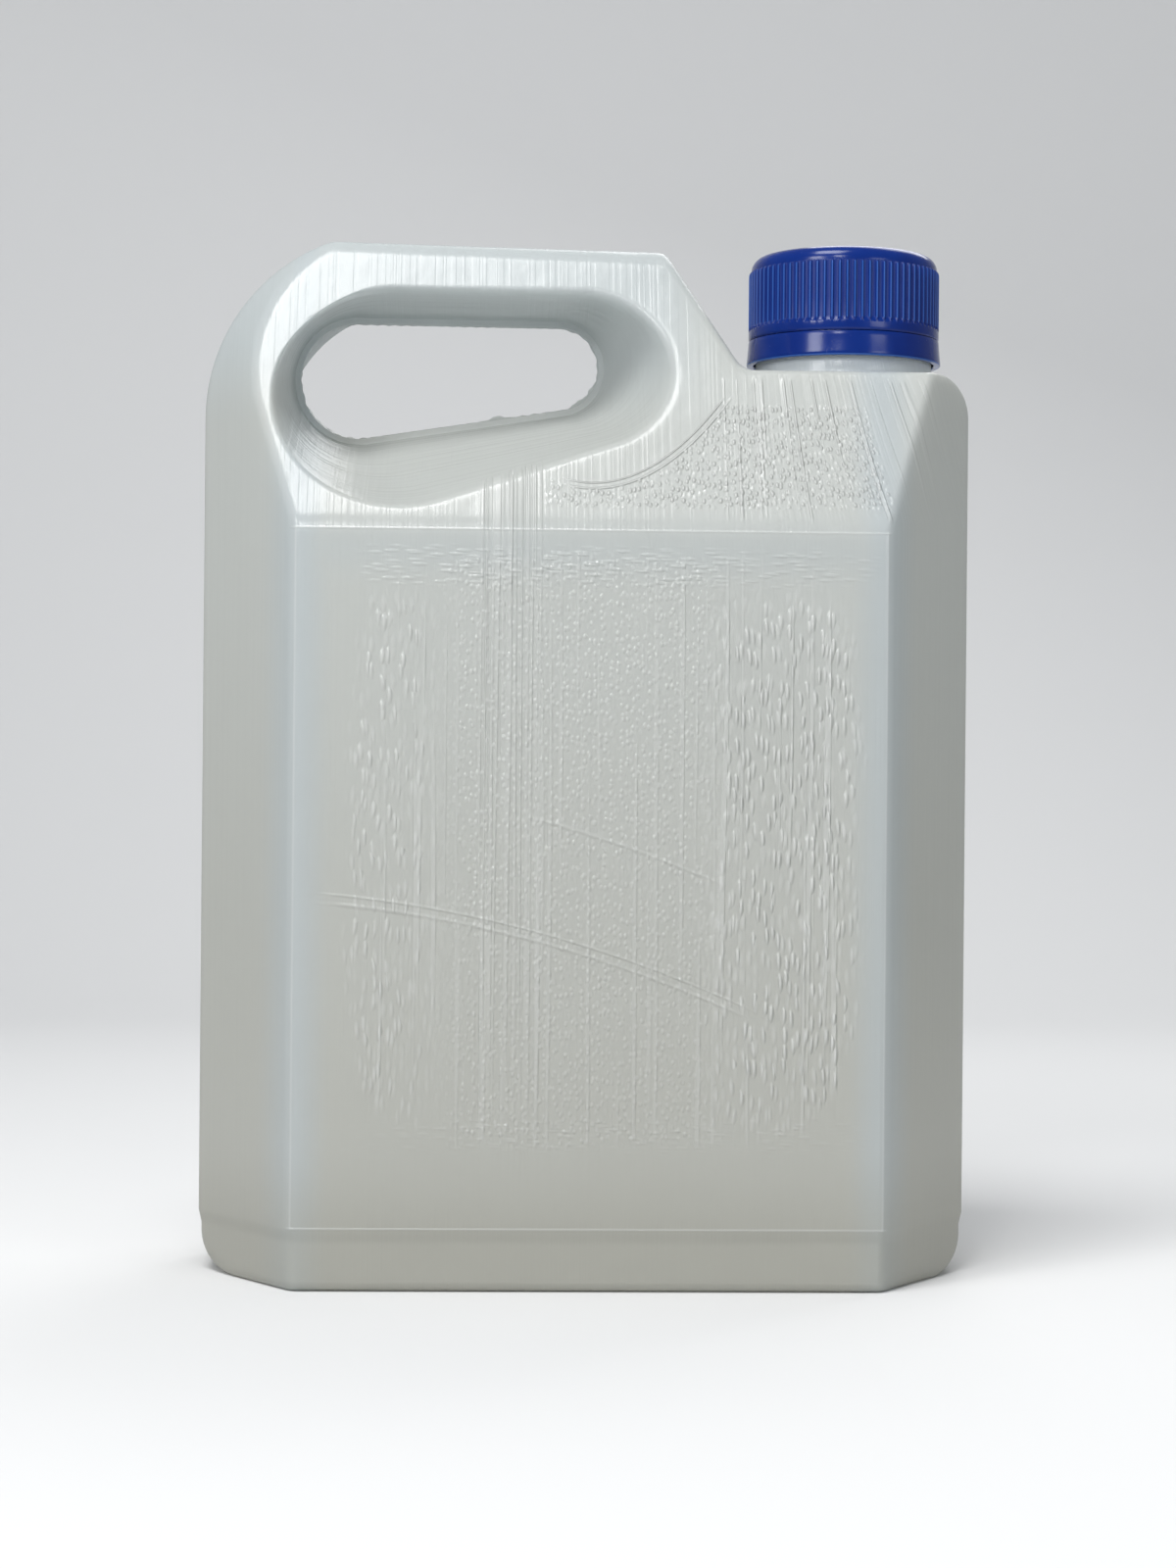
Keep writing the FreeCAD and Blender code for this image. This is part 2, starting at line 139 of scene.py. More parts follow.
# Rows of points across the strip, across the full depth and across the edge of the hand hole.
STRIP_ROWS = np.array([0.22, 0.45, 0.8, 1.6, 3.2, 5.0, 6.8, 8.6, 10.2, 11.3, 12.0, 12.5])
PANEL_ROWS = np.array([0.22, 0.45, 0.8, 3.0, 9.0, 16.0, 24.0, 31.0, 32.4, 34.4, 38.0, 43.4])
HOLE_ROWS = np.array([0.25, 0.6, 1.0])

# Where trimming left more plastic in the hand hole: x, z, size and reach.
BURRS = ((-19.5, 184.3, 1.5, 0.9), (-0.8, 187.6, 1.8, 1.1), (1.8, 191.0, 1.2, 0.7))

# The moulded skin lies this far inside the nominal outline, so that the parting ridge reaches it.
SKIN_SINK = 0.12


def slant(slope):
    """Length along a slanting line for each unit across it."""
    return math.hypot(1.0, slope)


def soft_min(a, b, width):
    """Smaller of two surfaces, blended where they differ by less than a width."""
    near = np.maximum(width - np.abs(a - b), 0) / width
    return np.minimum(a, b) - near * near * width / 4


def smooth_step(low, high, value):
    """0 below low, 1 above high, and smooth between them."""
    t = np.clip((value - low) / (high - low), 0, 1)
    return t * t * (3 - 2 * t)


# --- Front outline of the jug -----------------------------------------------------------------
def handle_top(x):
    """Height of the handle's top line."""
    return HEIGHT + HANDLE_TOP_SLOPE * (x - HANDLE_BACK_X)


def back_corner(inset):
    """Where the handle's round back meets its top line, both moved in by the inset."""
    radius = HANDLE_BACK_ROUND - inset
    rise = handle_top(BACK_CENTRE[0]) - inset * slant(HANDLE_TOP_SLOPE) - BACK_CENTRE[1]
    drop = rise / slant(HANDLE_TOP_SLOPE)
    lean = math.atan(HANDLE_TOP_SLOPE)
    along = math.sqrt(radius * radius - drop * drop) * math.cos(lean) + drop * math.sin(lean)
    return BACK_CENTRE + np.array([-along, rise - HANDLE_TOP_SLOPE * along])


def arc_points(centre, radius, start, end, step):
    """Points along an arc between two angles, both ends included."""
    count = max(3, int(abs(end - start) * max(radius, 1.0) / step) + 1)
    angles = np.linspace(start, end, count + 1)
    return centre + radius * np.stack([np.cos(angles), np.sin(angles)], 1)


def line_points(start, end, step):
    """Points along a straight line, both ends included."""
    count = max(1, int(round(np.linalg.norm(end - start) / step)))
    return start + (end - start) * np.linspace(0, 1, count + 1)[:, None]


def angle_of(vector):
    """Direction of a flat vector."""
    return math.atan2(vector[1], vector[0])


def rounded_line(points, radii, step):
    """Polyline through points with its corners rounded; also the index of the side each point is on."""
    found, sides = [], []
    start = points[0]
    for i, radius in enumerate(radii):
        before, corner, after = points[i], points[i + 1], points[i + 2]
        to_before = (before - corner) / np.linalg.norm(before - corner)
        to_after = (after - corner) / np.linalg.norm(after - corner)
        half = math.acos(np.clip(np.dot(to_before, to_after), -1, 1)) / 2
        if radius <= 0:
            run = line_points(start, corner, step)
            start = corner
        else:
            middle = (to_before + to_after) / np.linalg.norm(to_before + to_after)
            centre = corner + middle * radius / math.sin(half)
            first = corner + to_before * radius / math.tan(half)
            last = corner + to_after * radius / math.tan(half)
            a, b = angle_of(first - centre), angle_of(last - centre)
            turn = (b - a + math.pi) % (2 * math.pi) - math.pi
            bent = arc_points(centre, radius, a, a + turn, min(step, radius * 0.25))
            run = np.concatenate([line_points(start, first, step), bent[1:]])
            start = last
        found.append(run[:-1])
        sides += [i] * (len(run) - 1)
    run = line_points(start, points[-1], step)
    found.append(run[:-1])
    sides += [len(radii)] * (len(run) - 1)
    return np.concatenate(found), sides


def intersect(first, second):
    """Where two lines cross, each given as a point and a direction."""
    (a, da), (b, db) = first, second
    t = ((b[0] - a[0]) * db[1] - (b[1] - a[1]) * db[0]) / (da[0] * db[1] - da[1] * db[0])
    return a + t * da


def front_outline(inset, step):
    """Closed outline seen from the front, clockwise from the handle's back corner, and each point's side."""
    foot_half = HALF_WIDTH - FOOT_INSET
    corners = [
        (-foot_half, 0), (foot_half, 0), (foot_half, FOOT_HEIGHT), (HALF_WIDTH, FOOT_TOP),
        (HALF_WIDTH, SHOULDER), (SLOPE_FOOT, SHOULDER), (HANDLE_FRONT, handle_top(HANDLE_FRONT)),
        (-HALF_WIDTH, handle_top(-HALF_WIDTH)), (-HALF_WIDTH, FOOT_TOP), (-foot_half, FOOT_HEIGHT),
    ]
    corners = [np.array(c, float) for c in corners]
    sides = []
    for corner, after in zip(corners, corners[1:] + corners[:1]):
        run = after - corner
        normal = np.array([-run[1], run[0]]) / np.linalg.norm(run)
        sides.append((corner + normal * inset, run))
    moved = [intersect(sides[i - 1], sides[i]) for i in range(len(sides))]
    corner_centre = back_corner(HANDLE_BACK_CORNER)
    across = (corner_centre - BACK_CENTRE) / np.linalg.norm(corner_centre - BACK_CENTRE)
    up = np.array([-HANDLE_TOP_SLOPE, 1]) / slant(HANDLE_TOP_SLOPE)
    back_radius = HANDLE_BACK_ROUND - inset
    corner_radius = HANDLE_BACK_CORNER - inset
    back_start = BACK_CENTRE + np.array([-back_radius, 0])
    top_start = corner_centre + up * corner_radius
    points = [top_start] + [moved[i] for i in (6, 5, 4, 3, 2, 1, 0, 9, 8)] + [back_start]
    base = BASE_CORNER - inset
    radii = [
        HANDLE_FRONT_ROUND - inset, SLOPE_FOOT_ROUND + inset, SHOULDER_CORNER - inset,
        0, 0, base, base, 0, 0,
    ]
    line, side = rounded_line(points, radii, step)
    back = arc_points(BACK_CENTRE, back_radius, math.pi, angle_of(across), step)
    corner = arc_points(corner_centre, corner_radius, angle_of(across), angle_of(up), step)
    line = np.concatenate([line, back[:-1], corner[:-1]])
    side += [10] * (len(back) - 1) + [11] * (len(corner) - 1)
    return line, np.array(side)


def stadium(back, front, grow, counts):
    """Two round ends joined by their common tangents, anticlockwise from the top of the front end."""
    b, f = np.array(back[:2]), np.array(front[:2])
    rb, rf = back[2] + grow, front[2] + grow
    lean = angle_of(f - b)
    tilt = math.acos((rb - rf) / np.linalg.norm(f - b))
    up, down = lean + tilt, lean - tilt

    def on(centre, radius, angle):
        return centre + radius * np.array([math.cos(angle), math.sin(angle)])

    def straight(start, end, count):
        return start + (end - start) * np.linspace(0, 1, count + 1)[:-1, None]

    def bent(centre, radius, start, end, count):
        angles = np.linspace(start, end, count + 1)[:-1]
        return centre + radius * np.stack([np.cos(angles), np.sin(angles)], 1)

    return np.concatenate([
        straight(on(f, rf, up), on(b, rb, up), counts[0]),
        bent(b, rb, up, down + 2 * math.pi, counts[1]),
        straight(on(b, rb, down), on(f, rf, down), counts[2]),
        bent(f, rf, down, up, counts[3]),
    ])


def edge_gap(points, line, values, reach):
    """Distance to a closed polyline, and its value at the nearest place; past reach, just reach."""
    tree = KDTree(len(line))
    for k, (x, z) in enumerate(line):
        tree.insert((x, z, 0), k)
    tree.balance()
    hits = [tree.find((x, z, 0))[1:] for x, z in points]
    nearest = np.array([hit[0] for hit in hits])
    rough = np.array([hit[1] for hit in hits])
    best, found = np.full(len(points), float(reach)), values[nearest]
    close = np.flatnonzero(rough < reach + 1)
    p, k = points[close], nearest[close]
    for first, last in ((k - 1, k), (k, (k + 1) % len(line))):
        run = line[last] - line[first]
        t = np.clip(((p - line[first]) * run).sum(1) / (run * run).sum(1), 0, 1)
        gap = np.linalg.norm(p - line[first] - run * t[:, None], axis=1)
        nearer = gap < best[close]
        best[close[nearer]] = gap[nearer]
        value = values[first] * (1 - t) + values[last] * t
        found[close[nearer]] = value[nearer]
    return best, found


def inside(points, line):
    """True where a point is inside a closed polyline."""
    x, y = points[:, 0], points[:, 1]
    hits = np.zeros(len(points), bool)
    for (ax, ay), (bx, by) in zip(line, np.roll(line, -1, 0)):
        if ay != by:
            crosses = (ay > y) != (by > y)
            hits ^= crosses & (x < (bx - ax) * (y - ay) / (by - ay) + ax)
    return hits


# --- Half thickness of the jug over its parting plane ------------------------------------------
class Skin:
    """The jug's skin moved in by an inset: its outline, half thickness and hand hole."""

    def __init__(self, inset, step, funnel_rows):
        self.inset = inset
        solid = inset == 0
        self.outline, side = front_outline(inset + (SKIN_SINK if solid else 0), step)
        rounding = np.where(np.isin(side, SLOPE_AND_BASE), EDGE_ROUND, STRIP_ROUND)
        rounding = np.where(side == SHOULDER_SIDE, SHOULDER_ROUND, rounding)
        for _ in range(4):
            rounding = (np.roll(rounding, 1) + rounding * 2 + np.roll(rounding, -1)) / 4
        self.rounding = rounding
        self.funnel_rows(step, funnel_rows)

    def funnel_rows(self, step, wall_rows):
        """Rows of (x, half thickness, z) from the hand hole's edge, up its funnel and over the rim."""
        solid = self.inset == 0
        grow = 0 if solid else self.inset * slant(CHAMFER_SLOPE) / CHAMFER_SLOPE
        half_web = HALF_WEB if solid else 0.1
        counts = tuple(int(length / step) for length in (43, 100, 43, 58))
        start = stadium(HOLE_BACK, HOLE_FRONT, WEB_WIDTH + grow, counts)
        mouth = stadium(MOUTH_BACK, MOUTH_FRONT, grow, counts)
        wedge_angle = math.atan(WEDGE_SLOPE)
        lean, rise = math.sin(wedge_angle), math.cos(wedge_angle)
        mouth_half = HALF_DEPTH + MOUTH_LIFT * rise - mouth[:, 1] * lean
        mouth = np.stack([mouth[:, 0], PANEL_TOP + MOUTH_LIFT * lean + mouth[:, 1] * rise], 1)
        run = mouth - start
        length = np.linalg.norm(run, axis=1)
        run /= length[:, None]
        slope = (mouth_half - half_web) / length

        def place(out):
            return start + run * out[:, None]

        low, high = np.zeros(len(start)), length * 1.2
        for _ in range(30):
            middle = (low + high) / 2
            below = half_web + slope * middle < self.half(place(middle))
            low, high = np.where(below, middle, low), np.where(below, high, middle)
        rim, rim_half = low, half_web + slope * low
        steep = np.arctan(slope)
        flat = np.arctan((self.half(place(rim + 1.0)) - self.half(place(rim + 0.3))) / 0.7)
        reach = np.minimum((RIM_ROUND + grow) * np.tan((steep - flat) / 2), rim * 0.6)
        wall_end, body_start = rim - reach * np.cos(steep), rim + reach * np.cos(flat)
        rows = []
        if solid:
            edge = stadium(HOLE_BACK, HOLE_FRONT, 0, counts)
            for share in (0, 0.35, 0.75):
                rows.append((edge + (start - edge) * share, np.full(len(start), half_web)))
        for share in np.linspace(0, 1, wall_rows + 1) ** 0.9:
            rows.append((place(wall_end * share), half_web + slope * wall_end * share + 0.05 * (share == 0)))
        body_half = self.half(place(body_start))
        for u in (0.17, 0.34, 0.5, 0.66, 0.83):
            out = (1 - u) ** 2 * wall_end + 2 * u * (1 - u) * rim + u * u * body_start
            half = (1 - u) ** 2 * (half_web + slope * wall_end)
            half += 2 * u * (1 - u) * rim_half + u * u * body_half
            rows.append((place(out), half))
        for beyond in (0, 0.7, 1.5):
            rows.append((place(body_start + beyond), self.half(place(body_start + beyond))))
        self.hole_rows = np.array([np.stack([xz[:, 0], half, xz[:, 1]], 1) for xz, half in rows])
        self.mouth = self.hole_rows[-1][:, [0, 2]]

    def from_handle_edge(self, points):
        """Distance in from the left side, the handle's round back and its top line."""
        x, z = points[:, 0], points[:, 1]
        top = (handle_top(x) - z) / slant(HANDLE_TOP_SLOPE)
        back = HANDLE_BACK_ROUND - np.hypot(x - BACK_CENTRE[0], z - BACK_CENTRE[1])
        back = np.where(x < BACK_CENTRE[0], back, 1e3)
        left = np.where(z < BACK_CENTRE[1], x + HALF_WIDTH, back)
        centre = back_corner(HANDLE_BACK_CORNER)
        across = centre - BACK_CENTRE
        dx, dz = x - centre[0], z - centre[1]
        in_corner = (across[0] * dz - across[1] * dx < 0) & (dx < -HANDLE_TOP_SLOPE * dz) & (dz > 0)
        corner = HANDLE_BACK_CORNER - np.hypot(dx, dz)
        return np.where(in_corner, corner, np.minimum(left, top))

    def half(self, points):
        """Half thickness at each (x, z)."""
        x, z = points[:, 0], points[:, 1]
        i = self.inset
        foot = FOOT_INSET * (1 - smooth_step(FOOT_HEIGHT - 0.3, FOOT_TOP + 0.3, z))
        panel = HALF_DEPTH - foot - i + np.zeros(len(points))
        wedge = HALF_DEPTH - WEDGE_SLOPE * (z - PANEL_TOP) - i * slant(WEDGE_SLOPE)
        from_left = self.from_handle_edge(points)
        from_right = HALF_WIDTH - x
        rise = SIDE_STRIP / 2 - (i + foot) * slant(CHAMFER_SLOPE)
        left = rise + CHAMFER_SLOPE * from_left
        right = rise + CHAMFER_SLOPE * from_right
        half = soft_min(panel, wedge, SHOULDER_BLEND)
        half = soft_min(half, left, CHAMFER_BLEND)
        half = soft_min(half, right, CHAMFER_BLEND)
        if i == 0:
            gap, radius = edge_gap(points, self.outline, self.rounding, EDGE_ROUND)
            short = np.maximum(radius - gap, 0)
            half -= radius - np.sqrt(radius * radius - short * short)
        return half


def triangulate(fixed, loops, extra):
    """Triangles over the fixed loops and loose points, kept inside the first loop and outside the rest."""
    far = 3 * HEIGHT
    points = np.concatenate([fixed, extra, [(-far, -far), (far, -far), (far, far), (-far, far)]])
    edges = []
    start = 0
    for size in loops:
        edges += [(start + k, start + (k + 1) % size) for k in range(size)]
        start += size
    result = delaunay_2d_cdt([Vector(p) for p in points], edges, [], 0, 1e-5)
    verts = np.array([tuple(v) for v in result[0]])
    faces = np.array([f for f in result[2] if len(f) == 3])
    middle = verts[faces].mean(1)
    keep = inside(middle, fixed[:loops[0]])
    start = loops[0]
    for size in loops[1:]:
        keep &= ~inside(middle, fixed[start:start + size])
        start += size
    faces = faces[keep]
    used = np.zeros(len(verts), bool)
    used[faces] = True
    used[:len(fixed)] = True
    place = np.cumsum(used) - 1
    return verts[used], place[faces]


def sheet_points(skin, coarse, finest, bend, rows):
    """Flat mesh of one half of the skin, finer where its thickness bends."""
    fixed = np.concatenate([skin.outline, skin.mouth])
    loops = [len(skin.outline), len(skin.mouth)]
    run = np.roll(skin.outline, -1, 0) - np.roll(skin.outline, 1, 0)
    normal = np.stack([run[:, 1], -run[:, 0]], 1) / np.linalg.norm(run, axis=1)[:, None]
    extra = [skin.outline + normal * row for row in rows]
    xs = np.arange(-HALF_WIDTH, HALF_WIDTH, coarse)
    zs = np.arange(0, HEIGHT, coarse * 0.866)
    grid = np.array([(x + (k % 2) * coarse / 2, z) for k, z in enumerate(zs) for x in xs])
    extra.append(grid)
    extra = np.concatenate(extra)
    clear = inside(extra, skin.outline) & ~inside(extra, skin.mouth)
    for line, room in ((skin.outline, rows[0] * 0.7), (skin.mouth, 0.6)):
        clear &= edge_gap(extra, line, np.zeros(len(line)), 5.0)[0] > room
    extra = extra[clear]
    known = {}

    def heights(points):
        keys = [tuple(p) for p in np.round(points, 5)]
        new = [k for k in dict.fromkeys(keys) if k not in known]
        if new:
            known.update(zip(new, skin.half(np.array(new))))
        return np.array([known[k] for k in keys])

    for _ in range(6):
        verts, faces = triangulate(fixed, loops, extra)
        edges = np.sort(np.concatenate([faces[:, [0, 1]], faces[:, [1, 2]], faces[:, [2, 0]]]), 1)
        edges, count = np.unique(edges, axis=0, return_counts=True)
        edges = edges[count == 2]
        a, b = verts[edges[:, 0]], verts[edges[:, 1]]
        long = np.linalg.norm(a - b, axis=1) > 2 * finest
        edges, middle = edges[long], (a + b)[long] / 2
        height = heights(verts)
        off = np.abs(heights(middle) - (height[edges[:, 0]] + height[edges[:, 1]]) / 2)
        if not (off > bend).any():
            break
        extra = np.concatenate([extra, middle[off > bend]])
    return triangulate(fixed, loops, extra)


def row_places(half, strip_rows, panel_rows):
    """Places of a band's rows across the skin: strip rows where it is thin, panel rows where thick."""
    share = np.clip((half - SIDE_STRIP / 2) / (HALF_DEPTH - FOOT_INSET - SIDE_STRIP / 2), 0, 1)
    on_strip = strip_rows * min(1.0, half / strip_rows[-1])
    return on_strip * (1 - share) + panel_rows * share * half / panel_rows[-1]


def skin_mesh(name, skin, verts, faces, recess, flash):
    """Closed mesh: the flat mesh moved to the front and the back, joined round the outline and the hole."""
    half = skin.half(verts)
    co = [np.stack([verts[:, 0], sense * half, verts[:, 1]], 1) for sense in (-1, 1)]
    total = len(verts)
    tris = [tuple(f) for f in faces] + [(c + total, b + total, a + total) for a, b, c in faces]
    total *= 2

    def add(points):
        nonlocal total
        co.append(points.reshape(-1, 3))
        ids = np.arange(total, total + points.size // 3).reshape(points.shape[:-1])
        total += ids.size
        return ids

    def join(first, after):
        """Faces between two closed rows of points."""
        for k in range(len(first)):
            m = (k + 1) % len(first)
            tris.append((first[k], after[k], after[m], first[m]))

    edge = len(skin.outline)
    mouth = np.arange(edge, edge + len(skin.mouth))
    hole_edges = []
    for side, sense in ((0, -1), (len(verts), 1)):
        rows = skin.hole_rows[:-1] * np.array([1, sense, 1])
        ids = list(add(rows)) + [mouth + side]
        for first, after in zip(ids, ids[1:]):
            join(first, after)
        hole_edges.append(ids[0])
    outline_edges = (np.arange(edge), np.arange(edge) + len(verts))
    hole_line = skin.hole_rows[0][:, [0, 2]]
    for line, ends, reach, is_hole in (
        (skin.outline, outline_edges, half[:edge], False),
        (hole_line, hole_edges, skin.hole_rows[0][:, 1], True),
    ):
        run = np.roll(line, -1, 0) - np.roll(line, 1, 0)
        outwards = np.stack([-run[:, 1], run[:, 0]], 1) / np.linalg.norm(run, axis=1)[:, None]
        if is_hole:
            places = [HOLE_ROWS * r for r in reach]
        else:
            places = [row_places(r, STRIP_ROWS, PANEL_ROWS) for r in reach]
        y = np.array([np.concatenate([-p[-2::-1], [0.0], p[:-1]]) for p in places])
        proud = flash(line, y, is_hole) if flash else np.zeros_like(y)
        place = np.stack([
            line[:, :1] + outwards[:, :1] * proud, y, line[:, 1:] + outwards[:, 1:] * proud,
        ], 2)
        if not is_hole:
            place[:, :, 2] += recess(place[:, :, 0], y, line[:, 1:] - skin.inset)
        ids = add(place).T
        rows = [ends[0]] + list(ids) + [ends[1]]
        for first, after in zip(rows, rows[1:]):
            join(first, after)
    mesh = bpy.data.meshes.new(name)
    mesh.from_pydata(np.concatenate(co) * MM, [], [tuple(int(i) for i in f) for f in tris])
    return new_object(name, outward(mesh))


def parting_ridge(line, y, is_hole):
    """The parting line, proud of the strip all round; round the hole, the edge left by trimming."""
    if not is_hole:
        return SKIN_SINK * np.exp(-((y / 0.3) ** 2))
    ragged = 0.25 + 0.2 * np.sin(line[:, 0] * 2.3 + line[:, 1]) * np.sin(line[:, 1] * 1.7)
    for x, z, size, reach in BURRS:
        ragged += reach * np.exp(-((line[:, 0] - x) ** 2 + (line[:, 1] - z) ** 2) / size ** 2)
    return ragged[:, None] * np.exp(-((y / 0.35) ** 2))


def base_recess(x, y, z):
    """How far the middle of the base is lifted inside its standing rim."""
    half_x, half_y = HALF_WIDTH - RECESS_MARGIN, HALF_DEPTH - RECESS_MARGIN
    inside_x, inside_y = half_x - np.abs(x), half_y - np.abs(y)
    cut = (half_x + half_y - CHAMFER_WIDTH - np.abs(x) - np.abs(y)) / math.sqrt(2)
    deep = np.minimum(np.minimum(inside_x, inside_y), cut)
    return RECESS_DEPTH * smooth_step(0.0, RECESS_DRAFT, deep) * (z < 0.01)


# --- Helpers for meshes ------------------------------------------------------------------------
def new_object(name, mesh):
    made = bpy.data.objects.new(name, mesh)
    bpy.context.scene.collection.objects.link(made)
    return made


def lathe(name, profile, segments):
    """Closed solid turned about the neck's axis from (radius, height) points, both ends on the axis."""
    angles = np.linspace(0, 2 * math.pi, segments + 1)[:-1]
    co, rings = [], []
    for radius, z in profile:
        rings.append(len(co))
        if radius == 0:
            co.append((NECK_X, 0, z))
        else:
            co += [(NECK_X + radius * math.cos(a), radius * math.sin(a), z) for a in angles]
    faces = []
    for k, (first, after) in enumerate(zip(rings, rings[1:])):
        for j in range(segments):
            m = (j + 1) % segments
            if profile[k][0] == 0:
                faces.append((first, after + j, after + m))
            elif profile[k + 1][0] == 0:
                faces.append((first + j, after, first + m))
            else:
                faces.append((first + j, after + j, after + m, first + m))
    mesh = bpy.data.meshes.new(name)
    mesh.from_pydata(np.array(co, float) * MM, [], faces)
    return new_object(name, outward(mesh))


def outward(mesh):
    """Turn a closed mesh's faces outwards."""
    bm = bmesh.new()
    bm.from_mesh(mesh)
    bmesh.ops.recalc_face_normals(bm, faces=bm.faces)
    bm.to_mesh(mesh)
    bm.free()
    return mesh


def baked(obj, name):
    """Plain mesh of an object with its modifiers applied; the object itself goes."""
    graph = bpy.context.evaluated_depsgraph_get()
    mesh = bpy.data.meshes.new_from_object(obj.evaluated_get(graph), depsgraph=graph)
    mesh.name = name
    bpy.data.objects.remove(obj)
    return new_object(name, mesh)


def combined(body, tools, name):
    """Body with each (tool, operation) applied to it as solids."""
    for tool, operation in tools:
        modifier = body.modifiers.new("solid", "BOOLEAN")
        modifier.operation = operation
        modifier.solver = "MANIFOLD"
        modifier.material_mode = "TRANSFER"
        modifier.object = tool
    made = baked(body, name)
    for tool, _ in tools:
        bpy.data.objects.remove(tool)
    return made


def smooth_faces(obj, angle):
    """Smooth shading, with edges sharper than an angle kept crisp."""
    mesh = obj.data
    mesh.polygons.foreach_set("use_smooth", np.ones(len(mesh.polygons), bool))
    mesh.set_sharp_from_angle(angle=math.radians(angle))
    return obj


def of_one_material(obj, material):
    """The object with this material on every face and no other slot."""
    obj.data.materials.clear()
    obj.data.materials.append(material)
    obj.data.polygons.foreach_set("material_index", np.zeros(len(obj.data.polygons), int))
    return obj


# --- Helpers for node trees ---------------------------------------------------------------------
def geometry_tree(name, inputs):
    """New Geometry Nodes tree with a geometry input, named inputs and a geometry output."""
    tree = bpy.data.node_groups.new(name, "GeometryNodeTree")
    tree.interface.new_socket("Geometry", in_out="INPUT", socket_type="NodeSocketGeometry")
    for label, kind in inputs:
        tree.interface.new_socket(label, in_out="INPUT", socket_type="NodeSocket" + kind)
    tree.interface.new_socket("Geometry", in_out="OUTPUT", socket_type="NodeSocketGeometry")
    return tree, tree.nodes.new("NodeGroupInput"), tree.nodes.new("NodeGroupOutput")


def node(tree, kind, links=None, **settings):
    """New node with its settings, and its inputs linked to sockets or set to values."""
    made = tree.nodes.new(kind)
    for key, value in settings.items():
        setattr(made, key, value)
    for key, value in (links or {}).items():
        if isinstance(value, bpy.types.NodeSocket):
            tree.links.new(value, made.inputs[key])
        else:
            made.inputs[key].default_value = value
    return made


def with_tree(obj, tree, values):
    """Give an object a Geometry Nodes tree and set its named inputs."""
    modifier = obj.modifiers.new(tree.name, "NODES")
    modifier.node_group = tree
    for item in tree.interface.items_tree:
        if item.in_out == "INPUT" and item.name in values:
            modifier[item.identifier] = values[item.name]
    return obj


def round_tree():
    """Copies of one pitch of a turned piece set round the neck's axis and joined."""
    tree, start, end = geometry_tree("set_round", [
        ("Count", "Int"), ("Centre", "Vector"), ("Join Distance", "Float"), ("Material", "Material"),
    ])
    line = node(tree, "GeometryNodeMeshLine", {"Count": start.outputs["Count"], "Offset": (0, 0, 0)})
    index = node(tree, "GeometryNodeInputIndex")
    pitch = node(tree, "ShaderNodeMath", {0: 2 * math.pi, 1: start.outputs["Count"]}, operation="DIVIDE")
    angle = node(tree, "ShaderNodeMath", {0: index.outputs[0], 1: pitch.outputs[0]}, operation="MULTIPLY")
    turn = node(tree, "ShaderNodeCombineXYZ", {"Z": angle.outputs[0]})
    copies = node(tree, "GeometryNodeInstanceOnPoints", {
        "Points": line.outputs[0], "Instance": start.outputs["Geometry"], "Rotation": turn.outputs[0],
    })
    real = node(tree, "GeometryNodeRealizeInstances", {"Geometry": copies.outputs[0]})
    joined = node(tree, "GeometryNodeMergeByDistance", {
        "Geometry": real.outputs[0], "Distance": start.outputs["Join Distance"],
    })
    placed = node(tree, "GeometryNodeTransform", {
        "Geometry": joined.outputs[0], "Translation": start.outputs["Centre"],
    })
    realised = node(tree, "GeometryNodeRealizeInstances", {"Geometry": placed.outputs[0]})
    finish = node(tree, "GeometryNodeSetMaterial", {
        "Geometry": realised.outputs[0], "Material": start.outputs["Material"],
    })
    tree.links.new(finish.outputs[0], end.inputs["Geometry"])
    return tree


def pitch_mesh(name, rows, columns, count, shape):
    """One pitch of a turned piece: rows from axis to axis, columns across it; shape gives each point."""
    half_pitch = math.pi / count
    co, ids = [], []
    for row in rows:
        if row[0] == 0:
            ids.append([len(co)] * len(columns))
            co.append((0, 0, row[1]))
            continue
        ids.append(list(range(len(co), len(co) + len(columns))))
        for column in columns:
            radius, z = shape(row, column)
            angle = np.clip(column, -half_pitch, half_pitch)
            co.append((radius * math.cos(angle), radius * math.sin(angle), z))
    faces = []
    for first, after in zip(ids, ids[1:] if rows[0][0] == 0 else ids[1:] + ids[:1]):
        for j in range(len(columns) - 1):
            ring = [first[j], first[j + 1], after[j + 1], after[j]]
            faces.append(tuple(dict.fromkeys(ring)))
    mesh = bpy.data.meshes.new(name)
    mesh.from_pydata(np.array(co, float) * MM, [], faces)
    return new_object(name, mesh)


